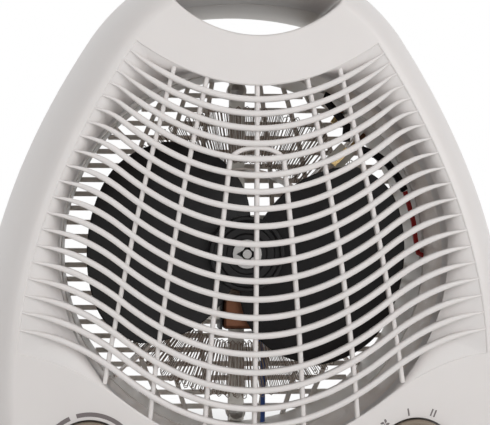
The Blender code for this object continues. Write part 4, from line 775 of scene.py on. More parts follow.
class GeometryTree:
    """A tree with named sizes that is run on a mesh and then taken off."""

    def __init__(self, name: str, sizes: dict[str, float | int],
                 grow: Callable[[Graph, Callable[[str], Term]], Value]) -> None:
        """Build the tree.

        Args:
            name: Its name.
            sizes: Its inputs with their first values.
            grow: Adds the nodes that make the shape, from the inputs by name.
        """
        self.tree = bpy.data.node_groups.new(name, "GeometryNodeTree")
        face = self.tree.interface
        face.new_socket("Geometry", in_out="INPUT", socket_type="NodeSocketGeometry")
        self.keys: dict[str, str] = {}
        for label, value in sizes.items():
            kind = "NodeSocketInt" if isinstance(value, int) else "NodeSocketFloat"
            self.keys[label] = face.new_socket(label, in_out="INPUT", socket_type=kind).identifier
        for label, kind in (("Shape", "NodeSocketObject"), ("Material", "NodeSocketMaterial")):
            self.keys[label] = face.new_socket(label, in_out="INPUT", socket_type=kind).identifier
        face.new_socket("Geometry", in_out="OUTPUT", socket_type="NodeSocketGeometry")
        self.sizes = sizes
        graph = Graph(self.tree)
        given = graph.node("NodeGroupInput")
        shape = grow(graph, given.out)
        real = graph.node("GeometryNodeRealizeInstances", None, {"Geometry": shape})
        done = graph.node("GeometryNodeSetMaterial", None,
                          {"Geometry": real, "Material": given.out("Material")})
        graph.node("NodeGroupOutput", None, {"Geometry": done})

    def run(self, obj: Object, finish: Finish, shape: Object | None = None,
            **sizes: float | int) -> Object:
        """Run the tree on an object.

        Args:
            obj: Its mesh holds the points or paths to start from.
            finish: The result's finish.
            shape: A shape to repeat, which is used up.
            sizes: Inputs that differ from the first values.

        Returns:
            The object, as plain mesh.
        """
        nodes = obj.modifiers.new(self.tree.name, "NODES")
        nodes.node_group = self.tree
        for label, value in {**self.sizes, **sizes}.items():
            nodes[self.keys[label]] = value
        nodes[self.keys["Material"]] = material(finish)
        if shape:
            nodes[self.keys["Shape"]] = shape
        obj.update_tag()
        settle(obj)
        if shape:
            bpy.data.objects.remove(shape, do_unlink=True)
        dress(obj, finish)
        return obj


def grow_bars(graph: Graph, size: Callable[[str], Term]) -> Value:
    """Rounded bars along the edges of a mesh, turned and scaled by its attributes.

    Args:
        graph: The tree to fill.
        size: Gives an input of the tree by its name.

    Returns:
        The bars.
    """
    along = graph.node("GeometryNodeMeshToCurve", None, {"Mesh": size("Geometry")})
    across = graph.node("GeometryNodeInputNamedAttribute", {"data_type": "FLOAT_VECTOR"},
                        {"Name": "across"})
    swell = graph.node("GeometryNodeInputNamedAttribute", {"data_type": "FLOAT"}, {"Name": "swell"})
    turned = graph.node("GeometryNodeSetCurveNormal", {"mode": "FREE"},
                        {"Curve": along, "Normal": across})
    block = graph.node("GeometryNodeCurvePrimitiveQuadrilateral", {"mode": "RECTANGLE"},
                       {"Width": size("Width"), "Height": size("Depth")})
    profile = graph.node("GeometryNodeFilletCurve", {"mode": "POLY"}, {
        "Curve": block, "Count": size("Rounding Steps"), "Radius": size("Rounding"),
        "Limit Radius": True})
    swept = graph.node("GeometryNodeCurveToMesh", None, {
        "Curve": turned, "Profile Curve": profile, "Scale": swell, "Fill Caps": True})
    return graph.node("GeometryNodeSetShadeSmooth", None, {"Geometry": swept, "Shade Smooth": True})


def grow_copies(graph: Graph, size: Callable[[str], Term]) -> Value:
    """A shape repeated on points, each turned by a fixed random angle about Y.

    Args:
        graph: The tree to fill.
        size: Gives an input of the tree by its name.

    Returns:
        The copies.
    """
    given = graph.node("GeometryNodeObjectInfo", None, {"Object": size("Shape")})
    angle = graph.node("FunctionNodeRandomValue", {"data_type": "FLOAT"}, {
        "Seed": size("Seed"), 3: size("Turn")})
    turn = graph.node("ShaderNodeCombineXYZ", None, {"Y": angle.out(1)})
    return graph.node("GeometryNodeInstanceOnPoints", None, {
        "Points": size("Geometry"), "Instance": given.out("Geometry"), "Rotation": turn})


def grow_hairpins(graph: Graph, size: Callable[[str], Term]) -> Value:
    """One wire folded into hairpins that wind round a line along Y.

    Args:
        graph: The tree to fill.
        size: Gives an input of the tree by its name.

    Returns:
        The wire.
    """
    index = graph.node("GeometryNodeInputIndex").out()
    folds, turns = size("Folds"), size("Turns")
    corners, leg, stray, uneven = 6.0, 0.22, 0.10, 0.6
    fold = (index / corners).math("FLOOR")
    corner = index % corners
    points = graph.node("GeometryNodeMeshLine", {"mode": "OFFSET"},
                        {"Count": folds * turns * corners})

    def pick(values: Sequence[float]) -> Term:
        """One of six numbers, by the point's place in its hairpin.

        Args:
            values: The six numbers.

        Returns:
            The number.
        """
        total: Term | None = None
        for place, value in enumerate(values):
            if value:
                part = corner.math("COMPARE", place, 0.1) * value
                total = part if total is None else total + part
        return total

    def loose(seed: float) -> Term:
        """A fixed random number from -1 to 1 for each hairpin.

        Args:
            seed: Added to the tree's seed.

        Returns:
            The number.
        """
        made = graph.node("FunctionNodeRandomValue", {"data_type": "FLOAT"}, {
            2: -1.0, 3: 1.0, "ID": fold, "Seed": size("Seed") + seed})
        return made.out(1)

    slack = size("Slack")
    share = fold + pick((-leg, -leg, 0, leg, leg, 0.5)) + stray * loose(0.0)
    angle = share * (2 * pi) / folds + size("Start")
    reach = size("Outer") - size("Inner") + slack * uneven * loose(3.0)
    outer = pick((0, 1, 1, 1, 0, 0))
    radius = size("Inner") + outer * reach + size("Bend") * pick((1, -1, 0, -1, 1, 0))
    y = size("Front") + size("Pitch") * share / folds + slack * loose(7.0) * outer
    place = graph.node("ShaderNodeCombineXYZ", None, {
        "X": radius * angle.math("COSINE"), "Y": y,
        "Z": size("Height") + radius * angle.math("SINE")})
    wire = graph.node("GeometryNodeMeshToCurve", None, {"Mesh": graph.node(
        "GeometryNodeSetPosition", None, {"Geometry": points, "Position": place})})
    ring = graph.node("GeometryNodeCurvePrimitiveCircle", {"mode": "RADIUS"}, {
        "Resolution": 6, "Radius": size("Wire")})
    tube = graph.node("GeometryNodeCurveToMesh", None, {
        "Curve": wire, "Profile Curve": ring, "Fill Caps": True})
    return graph.node("GeometryNodeSetShadeSmooth", None, {"Geometry": tube, "Shade Smooth": True})


@dataclass
class Paths:
    """Centre lines for bars, with the direction across each and its size at each point."""

    points: list[Point] = field(default_factory=list)
    across: list[Point] = field(default_factory=list)
    swell: list[float] = field(default_factory=list)
    edges: list[tuple[int, int]] = field(default_factory=list)

    def add(self, line: Sequence[Point], swell: Sequence[float] | None = None) -> None:
        """Add one line.

        Args:
            line: Its points.
            swell: The share of the full section at each point.
        """
        start = len(self.points)
        last = len(line) - 1
        for i, point in enumerate(line):
            ahead, behind = line[min(last, i + 1)], line[max(0, i - 1)]
            dx, dz = ahead[0] - behind[0], ahead[2] - behind[2]
            length = hypot(dx, dz)
            self.points.append(tuple(point))
            self.across.append((-dz / length, 0.0, dx / length))
            self.swell.append(swell[i] if swell else 1.0)
        self.edges += [(start + i, start + i + 1) for i in range(last)]

    def mesh(self, name: str) -> Object:
        """The lines as an object.

        Args:
            name: The object's name.

        Returns:
            The object.
        """
        mesh = bpy.data.meshes.new(name)
        mesh.from_pydata(self.points, self.edges, [])
        turned = mesh.attributes.new("across", "FLOAT_VECTOR", "POINT")
        turned.data.foreach_set("vector", [c for v in self.across for c in v])
        mesh.attributes.new("swell", "FLOAT", "POINT").data.foreach_set("value", self.swell)
        return link(name, mesh)


def show(obj: Object, body: str, finish: Finish, *nodes: str) -> None:
    """Dress a bare piece, put it on the body that it moves with and hide the frame nodes that it
    stands for.

    Args:
        obj: The piece.
        body: The body that it moves with.
        finish: Its finish, used when it has no material yet.
        nodes: Frame nodes that it stands for.
    """
    if not obj.data.materials:
        dress(obj, finish)
    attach(obj, body)
    if nodes:
        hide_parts(*nodes)
    LOG.info("%s: %d faces on %s", obj.name, len(obj.data.polygons), body)


BAR_TREE = GeometryTree("rounded_bars", {
    "Width": 2.4 * MM, "Depth": 4.6 * MM, "Rounding": 1.1 * MM, "Rounding Steps": 5}, grow_bars)
COPY_TREE = GeometryTree("copies", {"Seed": 4, "Turn": tau}, grow_copies)
HAIRPIN_TREE = GeometryTree("hairpins", {
    "Folds": 104, "Turns": 2.9615, "Inner": 41 * MM, "Outer": 66 * MM, "Bend": 0.7 * MM,
    "Front": 12.3 * MM, "Pitch": 7.2 * MM, "Height": 122 * MM, "Start": 0.8, "Slack": 0.35 * MM,
    "Wire": 0.22 * MM, "Seed": 11}, grow_hairpins)


# The moulded body

HOUSING, FAN, LEFT_DIAL, RIGHT_DIAL = "housing", "fan", "thermostat_dial", "selector_dial"


@dataclass(frozen=True)
class Body:
    """Outline, depth and main places of the moulded body."""

    half_width: float = CAD_BOX[1][0]
    widest_z: float = 68 * MM
    top_z: float = 253 * MM
    grip_arc: float = 82 * MM
    shoulder: float = radians(56)
    base_z: float = 3 * MM
    base_corner: float = 14 * MM
    wall: float = 2.4 * MM
    front: float = -58.5 * MM
    back: float = 59 * MM
    parting: float = 4 * MM
    seam: float = 0.3 * MM
    turn_z: float = 150 * MM  # below it the face falls back
    fall: float = 0.8
    bow: float = 0.4
    base_edge: float = 7 * MM  # how far the base turns up towards the face
    base_flat: float = 0.72  # share of the depth over which it stays flat
    duct_z: float = 122 * MM
    duct: float = 80.5 * MM
    lip: float = -38.5 * MM  # front of the duct
    dial_x: float = 67.509 * MM
    dial_z: float = 38 * MM
    seat: float = -43.642 * MM  # floor of the dials' recesses
    post: float = 5.2 * MM
    stem: float = 3.1 * MM
    hole_rim: float = 1.6 * MM
    lens_z: float = 27 * MM
    gland: Flat = (45 * MM, 22 * MM)

    @property
    def lens_tilt(self) -> float:
        """How far the face leans back at the lamp."""
        return atan(2 * self.fall * (self.turn_z - self.lens_z))

    @property
    def arch_z(self) -> float:
        """Height of the centre of the arch over the grip."""
        return self.top_z - self.grip_arc

    @property
    def arch_end(self) -> Flat:
        """Where the arch meets the side."""
        return (self.grip_arc * sin(self.shoulder),
                self.arch_z + self.grip_arc * cos(self.shoulder))

    @property
    def side_bow(self) -> float:
        """Curvature of the side."""
        x, z = self.arch_end
        return (self.half_width - x) / (z - self.widest_z) ** 2

    def side_x(self, z: float) -> float:
        """Half width at a height below the arch."""
        return self.half_width - self.side_bow * (z - self.widest_z) ** 2

    def side_normal(self, z: float) -> Flat:
        """Direction out of the side at a height.

        Args:
            z: The height.

        Returns:
            The direction as (x, z).
        """
        slope = 2 * self.side_bow * (z - self.widest_z)
        length = hypot(1, slope)
        return 1 / length, slope / length

    def face_y(self, x: float, z: float) -> float:
        """Depth of the front face."""
        return self.front + self.bow * x * x + self.fall * max(0.0, self.turn_z - z) ** 2

    def flat_back(self, _x: float, _z: float) -> float:
        """Depth of the back."""
        return self.back

    def inset(self, x: float, z: float) -> float:
        """Distance from a point to the outline, in the upper half.

        Args:
            x: The point's x.
            z: The point's z.

        Returns:
            The distance.
        """
        if z > self.arch_end[1]:
            return self.grip_arc - hypot(x, z - self.arch_z)
        return (self.side_x(z) - abs(x)) * self.side_normal(z)[0]

    def half_outline(self, inset: float, lift: float) -> list[Flat]:
        """Right half of the outline from the middle of the base to the top.

        Args:
            inset: Distance by which it is drawn in.
            lift: Height by which the base is raised.

        Returns:
            Its (x, z) points.
        """
        corner_z = self.base_z + self.base_corner
        wide = self.side_x(corner_z)
        squeeze = 1 - inset / wide
        points = [((wide - self.base_corner) * squeeze * i / BASE_STEPS, self.base_z + lift)
                  for i in range(BASE_STEPS + 1)]
        for i in range(1, CORNER_STEPS):
            turn = pi / 2 * i / CORNER_STEPS
            points.append(((wide - self.base_corner * (1 - sin(turn))) * squeeze,
                           corner_z - self.base_corner * cos(turn) + lift * cos(turn)))
        for i in range(SIDE_STEPS):
            z = corner_z + (self.arch_end[1] - corner_z) * i / SIDE_STEPS
            nx, nz = self.side_normal(z)
            points.append((self.side_x(z) - inset * nx, z - inset * nz))
        for i in range(ARCH_STEPS + 1):
            turn = self.shoulder * (1 - i / ARCH_STEPS)
            radius = self.grip_arc - inset
            points.append((radius * sin(turn), self.arch_z + radius * cos(turn)))
        return points


BASE_STEPS, CORNER_STEPS, SIDE_STEPS, ARCH_STEPS, EDGE_STEPS = 8, 8, 34, 26, 15
BODY = Body()


@dataclass
class Shell:
    """One moulded half of the body."""

    name: str
    parting: float
    depth: Callable[[float, float], float]
    draft: float
    rounding: float
    skin_gap: float = 0.01 * MM  # a rim starts this far outside the surface

    def skin(self, x: float, z: float) -> float:
        """Depth of the outer surface, its rounded edge included.

        Args:
            x: The point's x.
            z: The point's z.

        Returns:
            The depth.
        """
        inset = BODY.inset(x, z)
        low, high = 0.0, pi / 2
        for _ in range(HALVINGS[0]):
            middle = (low + high) / 2
            if self.draft * sin(middle) + self.rounding * (1 - cos(middle)) < inset:
                low = middle
            else:
                high = middle
        return self.parting + (self.depth(x, z) - self.parting) * sin(low)

    def rings(self, shrink: float = 0.0) -> list[list[Point]]:
        """Half outlines from the parting line to the face.

        Args:
            shrink: How far the surface is drawn in.

        Returns:
            The (x, y, z) points of each.
        """
        rings = []
        for i in range(EDGE_STEPS + 1):
            angle = pi / 2 * i / EDGE_STEPS
            share = sin(angle)
            inset = self.draft * share + self.rounding * (1 - cos(angle)) + shrink
            past = max(0.0, (share - BODY.base_flat) / (1 - BODY.base_flat))
            ring = []
            for x, z in BODY.half_outline(inset, BODY.base_edge * past ** 2 + shrink):
                end = self.depth(x, z)
                end += shrink if end < self.parting else -shrink
                ring.append((x, self.parting + (end - self.parting) * share, z))
            rings.append(ring)
        beyond = copysign(BODY.wall, self.parting - rings[-1][0][1])
        return [[(x, y + beyond, z) for x, y, z in rings[0]]] + rings

    def add_surface(self, bm: BMesh, shrink: float = 0.0, close: bool = False) -> None:
        """Side wall and face, as an open surface or a closed block.

        Args:
            bm: The mesh to fill.
            shrink: How far the surface is drawn in.
            close: Cap the open end.
        """
        loops = []
        rings = self.rings(shrink)
        for ring in rings:
            right = [bm.verts.new(p) for p in ring]
            loops.append(right + [bm.verts.new((-x, y, z)) for x, y, z in ring[1:-1]][::-1])
        for lower, upper in zip(loops, loops[1:]):
            for i in range(len(lower)):
                j = (i + 1) % len(lower)
                bm.faces.new((lower[i], lower[j], upper[j], upper[i]))
        face, half, columns = loops[-1], len(rings[-1]), 2 * BASE_STEPS
        row = [face[-k] if k else face[0] for k in range(BASE_STEPS, 0, -1)] + face[:BASE_STEPS + 1]
        for i in range(BASE_STEPS + 1, half - 1):
            right, left = face[i], face[-i]
            following = [left]
            for k in range(1, columns):
                x = left.co.x + (right.co.x - left.co.x) * k / columns
                y = self.depth(x, right.co.z)
                y += shrink if y < self.parting else -shrink
                following.append(bm.verts.new((x, y, right.co.z)))
            following.append(right)
            for k in range(columns):
                bm.faces.new((row[k], row[k + 1], following[k + 1], following[k]))
            row = following
        for k in range(columns):
            bm.faces.new((row[k], row[k + 1], face[half - 1]))
        if close:
            bm.faces.new(loops[0])

    def make(self) -> Object:
        """The wall, trimmed flat where it meets the other half.

        Returns:
            The shell.
        """
        obj = forge(self.name, self.add_surface)
        wall = obj.modifiers.new("wall", "SOLIDIFY")
        wall.thickness, wall.offset, wall.use_even_offset = BODY.wall, -1, True
        settle(obj)
        beyond = copysign(4 * BODY.wall, self.parting - self.depth(0, BODY.duct_z))
        ends = sorted((self.parting, self.parting + beyond))
        boolean(obj, "DIFFERENCE", forge("trim", lambda bm: add_box(
            bm, (-FAR, ends[0], -FAR), (FAR, ends[1], FAR))))
        return obj

    def trimmed(self, name: str, fill: Fill) -> Object:
        """A solid inside the shell, cut off in the middle of its wall.

        Args:
            name: The object's name.
            fill: Adds its faces.

        Returns:
            The solid.
        """
        obj = forge(name, fill)
        boolean(obj, "INTERSECT", forge("core", lambda bm: self.add_surface(
            bm, BODY.wall / 2, close=True)))
        return obj

    def flare(self, outline: Sequence[Flat], radius: float, deep: float) -> Fill:
        """A cut with an outline, whose rim is rounded where it leaves the surface.

        Args:
            outline: The (x, z) points of the cut.
            radius: Radius of the rim.
            deep: Depth at which the cut ends.

        Returns:
            A function that fills the cut's mesh.
        """
        inward = copysign(1.0, self.parting - self.depth(0, BODY.duct_z))
        cx = sum(x for x, _ in outline) / len(outline)
        cz = sum(z for _, z in outline) / len(outline)

        def ring(out: float, back: float) -> list[Point]:
            """The outline moved out of its middle, that far behind the surface.

            Args:
                out: How far it is moved outwards.
                back: How far it lies behind.

            Returns:
                The points.
            """
            points = []
            for x, z in outline:
                length = hypot(x - cx, z - cz)
                px, pz = x + (x - cx) / length * out, z + (z - cz) / length * out
                points.append((px, self.skin(px, pz) + inward * back, pz))
            return points

        def fill(bm: BMesh) -> None:
            """Loft from outside the surface to the cut's end.

            Args:
                bm: The mesh to fill.
            """
            turns = [pi / 2 * i / 6 for i in range(7)]
            near = ring(radius * 1.5, -radius)
            rings = [[(x, -inward * FAR, z) for x, _, z in near], near]
            rings += [ring(radius * (1 - sin(a)), radius * (1 - cos(a)) - self.skin_gap)
                      for a in turns]
            add_loft(bm, rings + [[(x, deep, z) for x, z in outline]])
        return fill


FRONT_SHELL = Shell("housing_front", BODY.parting - BODY.seam, BODY.face_y, 4 * MM, 15 * MM)
REAR_SHELL = Shell("housing_rear", BODY.parting + BODY.seam, BODY.flat_back, 3 * MM, 12 * MM)


@dataclass(frozen=True)
class FingerOpening:
    """The opening under the grip."""

    low_z: float = 212.2 * MM
    high_z: float = 233 * MM
    low_arc: float = 48.5 * MM
    high_arc: float = 140 * MM
    corner: float = 4 * MM
    counts: tuple[int, ...] = (41, 37, 7)  # points of the lower arc, the upper one and a corner

    def outline(self, grow: float = 0.0) -> list[Flat]:
        """Its (x, z) points, with rounded corners.

        Args:
            grow: How far it is widened.

        Returns:
            Its (x, z) points.
        """
        low_z, high_z = self.low_z + self.low_arc, self.high_z - self.high_arc
        gap = low_z - high_z
        level = (gap ** 2 + self.low_arc ** 2 - self.high_arc ** 2) / (2 * gap)
        low_end = acos(level / self.low_arc)
        high_end = asin(self.low_arc * sin(low_end) / self.high_arc)
        radius = self.low_arc + grow
        spread = low_end - self.corner / self.low_arc
        lower = [(radius * sin(t), low_z - radius * cos(t))
                 for t in np.linspace(-1, 1, self.counts[0]) * spread]
        radius = self.high_arc + grow
        spread = high_end - self.corner / self.high_arc
        upper = [(radius * sin(t), high_z + radius * cos(t))
                 for t in np.linspace(1, -1, self.counts[1]) * spread]
        tip_x = (self.low_arc + grow) * sin(low_end)
        tip_z = low_z - (self.low_arc + grow) * cos(low_end)

        def turn(start: Flat, tip: Flat, end: Flat) -> list[Flat]:
            """Points round one corner."""
            return [bent(start, tip, end, t) for t in np.linspace(0, 1, self.counts[2])[1:-1]]
        return (lower + turn(lower[-1], (tip_x, tip_z), upper[0])
                + upper + turn(upper[-1], (-tip_x, tip_z), lower[0]))


@dataclass
class Grille:
    """The bowed bars and ribs in the front, and the bowl behind their edge."""

    top_z: float = 186 * MM
    pitch_top: float = 5.8 * MM
    pitch: float = 7.5 * MM
    opening_rows: int = 9
    count: int = 20
    margin_top: float = 5.6 * MM
    margin_low: float = 10 * MM
    sag: float = 7.25  # rise of a bar by the square of its distance from the middle
    ease_x: float = 54.5 * MM  # where a bar starts to level out
    tip_slope: float = 0.1
    inset: float = 20 * MM  # width of the plain rim beside the grille
    proud: float = 0.47 * MM  # how far the bars stand before the face
    height: float = 2.5 * MM
    depth: float = 4.6 * MM
    tip_length: float = 16 * MM
    tip_share: float = 0.26
    rib_width: float = 1.9 * MM
    rib_depth: float = 4.2 * MM
    rib_round: float = 0.8 * MM
    rib_set: float = 1.8 * MM  # how far the ribs lie behind the bars' fronts
    rib_top: Point = (7.3 * MM, 21.2 * MM, 35.8 * MM)
    rib_low: Point = (21 * MM, 44.1 * MM, 65.7 * MM)
    rib_bow: Point = (1.5 * MM, 2.7 * MM, 2.3 * MM)
    arch_z: float = 166.4 * MM
    arch_height: float = 6 * MM
    rim: float = 0.8 * MM
    bowl: Flat = (0.6, 0.15)  # how the bowl's curve leans inwards and backwards
    sleeve: float = 10 * MM  # straight wall between bowl and duct lip
    overlap: float = 0.3 * MM  # rise of the bowl's rim over its edge
    tuck: float = 0.04 * MM  # so that the bowl's rim isn't flush with the opening
    bury: float = 1.2 * MM  # how far bars and ribs reach into the shell
    sink: float = 0.15 * MM  # how deep the bars' tips lie in the face
    taper: float = 1.4  # the larger, the later a tip narrows
    counts: tuple[int, ...] = (41, 34, 57)  # points of the edge above, at a side and below
    bar_points: int = 61
    rib_points: tuple[int, ...] = (24, 30, 26, 16)  # middle, outer and inner ribs, and the arch
    bowl_rings: int = 15
    heights: list[float] = field(init=False)

    def __post_init__(self) -> None:
        """Work out the bars' heights in the middle, between the two panels' edges."""
        bars = [self.top_z]
        for i in range(self.count - 1):
            opening = min(1.0, i / self.opening_rows)
            bars.append(bars[-1] - self.pitch_top - (self.pitch - self.pitch_top) * opening)
        self.heights = [self.top_z + self.margin_top, *bars, bars[-1] - self.margin_low]

    def side_x(self, z: float) -> float:
        """Half width of the grille at a height.

        Args:
            z: The height.

        Returns:
            The half width.
        """
        source = z
        for _ in range(12):
            source = z + self.inset * BODY.side_normal(source)[1]
        return BODY.side_x(source) - self.inset * BODY.side_normal(source)[0]

    def bar_z(self, row: int, x: float, tip: float) -> float:
        """Height of a bar at a distance from the middle, for a tip at a given distance.

        Args:
            row: The bar's number, from the upper panel's edge (0).
            x: The distance from the middle.
            tip: The tip's distance from the middle.

        Returns:
            The height.
        """
        x = abs(x)
        rise = self.sag * min(x, self.ease_x) ** 2
        if x > self.ease_x:
            past = x - self.ease_x
            slope = 2 * self.sag * self.ease_x
            length = max(tip - self.ease_x, past)
            rise += slope * past + (self.tip_slope - slope) * past * past / (2 * length)
        return self.heights[row] + rise

    def tip(self, row: int) -> float:
        """Distance from the middle at which a bar meets the grille's edge.

        Args:
            row: The bar's number, from the upper panel's edge (0).

        Returns:
            The distance.
        """
        low, high = 0.0, BODY.half_width
        for _ in range(HALVINGS[1]):
            tip = (low + high) / 2
            if tip < self.side_x(self.bar_z(row, tip, tip)):
                low = tip
            else:
                high = tip
        return low

    def outline(self) -> list[Flat]:
        """Edge of the grille, with its corners eased.

        Returns:
            Its (x, z) points.
        """
        last = self.count + 1
        top, low = self.tip(0), self.tip(last)
        z_top, z_low = self.bar_z(0, top, top), self.bar_z(last, low, low)
        above, beside, below = self.counts
        points = [(x, self.bar_z(0, x, top)) for x in np.linspace(-top, top, above)]
        side = [(self.side_x(z), z) for z in np.linspace(z_top, z_low, beside)[1:-1]]
        points += side + [(x, self.bar_z(last, x, low)) for x in np.linspace(low, -low, below)]
        return points + [(-x, z) for x, z in reversed(side)]

    def bars(self) -> Object:
        """The bars across the front.

        Returns:
            The bars.
        """
        paths = Paths()
        for row in range(1, self.count + 1):
            tip = self.tip(row)
            line, swell = [], []
            for share in np.linspace(-1, 1, self.bar_points):
                x = (tip + self.bury) * share
                z = self.bar_z(row, x, tip)
                taper = min(1.0, max(0.0, (abs(x) - tip + self.tip_length) / self.tip_length))
                size = 1 - (1 - self.tip_share) * taper ** self.taper
                sink = (self.proud + self.sink) * taper ** 2
                y = BODY.face_y(x, z) - self.proud + sink + self.depth * size / 2
                line.append((x, y, z))
                swell.append(size)
            paths.add(line, swell)
        return BAR_TREE.run(paths.mesh("grille_bars"), Finish.SHELL, Width=self.height,
                            Depth=self.depth)

    def rib_line(self, points: Iterable[Flat]) -> list[Point]:
        """Middle line of a rib through (x, z) points."""
        back = self.rib_set - self.proud + self.rib_depth / 2
        return [(x, BODY.face_y(x, z) + back, z) for x, z in points]

    def rib_x(self, index: int, z: float) -> float:
        """Distance of a rib from the middle at a height.

        Args:
            index: The rib's number, from the middle.
            z: The height.

        Returns:
            The distance.
        """
        share = (self.heights[0] - z) / (self.heights[0] - self.heights[-1])
        return (self.rib_top[index] + (self.rib_low[index] - self.rib_top[index]) * share
                + 4 * self.rib_bow[index] * share * (1 - share))

    def ribs(self) -> Object:
        """The upright ribs behind the bars; the two inner ones close in an arch.

        Returns:
            The ribs.
        """
        paths = Paths()
        last, bury = self.count + 1, self.bury
        single, outer, inner, steps = self.rib_points

        def edge(row: int, x: float) -> float:
            """Height of a panel's edge."""
            return self.bar_z(row, x, self.tip(row))
        heights = np.linspace(edge(0, 0) + bury, edge(last, 0) - bury, single)
        paths.add(self.rib_line((0, z) for z in heights))
        for index in (1, 2):
            heights = np.linspace(edge(0, self.rib_top[index]) + bury,
                                  edge(last, self.rib_low[index]) - bury, outer)
            for side in (-1, 1):
                paths.add(self.rib_line((side * self.rib_x(index, z), z) for z in heights))
        foot = self.arch_z - self.arch_height
        right = [(self.rib_x(0, z), z)
                 for z in np.linspace(foot, edge(last, self.rib_low[0]) - bury, inner)]
        width = right[0][0]
        arch = [(-width * cos(pi * i / steps),
                 foot + self.arch_height * sin(pi * i / steps))
                for i in range(1, steps)]
        paths.add(self.rib_line([(-x, z) for x, z in reversed(right)] + arch + right))
        return BAR_TREE.run(paths.mesh("grille_ribs"), Finish.SHELL, Width=self.rib_width,
                            Depth=self.rib_depth, Rounding=self.rib_round)

    def add_bowl(self, bm: BMesh) -> None:
        """The bowl from the grille's edge down to the duct, and the collar behind it.

        Args:
            bm: The mesh to fill.
        """
        edge = self.outline()
        middle = [hypot(x, z - BODY.duct_z) for x, z in edge]
        away = [(x / m, (z - BODY.duct_z) / m) for (x, z), m in zip(edge, middle)]
        wall, lip = 2 * MM, 1.5 * MM
        collar = BODY.duct + lip

        def ring(radius: float, y: float) -> list[Point]:
            """A circle round the duct."""
            return [(radius * cx, y, BODY.duct_z + radius * cz) for cx, cz in away]

        def slope(share: float) -> list[Point]:
            """One ring of the bowl, from its rim (0) to the duct (1).

            Args:
                share: The place between rim and duct.

            Returns:
                The points.
            """
            across, deep = (2 * share * (1 - share) * lean + share ** 2 for lean in self.bowl)
            points = []
            for (x, z), m, (cx, cz) in zip(edge, middle, away):
                start = BODY.face_y(x, z) + self.rim - self.overlap
                end = max(BODY.lip - self.sleeve, start + self.sleeve / 3)
                radius = m - self.tuck + (BODY.duct - m) * across
                points.append((radius * cx, start + (end - start) * deep,
                               BODY.duct_z + radius * cz))
            return points

        def sunk(share: float) -> list[Point]:
            """The same ring on the back of the bowl's wall."""
            return [(x + cx * wall, y, z + cz * wall)
                    for (x, y, z), (cx, cz) in zip(slope(share), away)]

        def rim(out: float, back: float) -> list[Point]:
            """The outline moved outwards, behind the face."""
            return [(x + cx * out, BODY.face_y(x, z) + back, z + cz * out)
                    for (x, z), (cx, cz) in zip(edge, away)]
        end = BODY.parting - BODY.seam
        rings = [slope(share) for share in np.linspace(0, 1, self.bowl_rings)]
        rings += [ring(BODY.duct - self.overlap / 3, BODY.lip + self.overlap),
                  ring(BODY.duct, BODY.lip + lip), ring(collar, BODY.lip + lip),
                  ring(collar, end), ring(collar + wall, end),
                  ring(collar + wall, BODY.lip + 2 * lip)]
        rings += [sunk(share) for share in (0.9, 0.75, 0.55, 0.35, 0.15)]
        rings += [rim(self.bury, BODY.wall - self.rim / 2), rim(self.bury, self.rim - self.overlap)]
        add_loft(bm, rings, closed=True)


POSTS = [(side * x, z) for x, z in ((50 * MM, 207 * MM), (94.9 * MM, 27 * MM))
         for side in (-1, 1)]
FEET_X = 69.245 * MM
FEET_Y = (-24 * MM, 34 * MM)


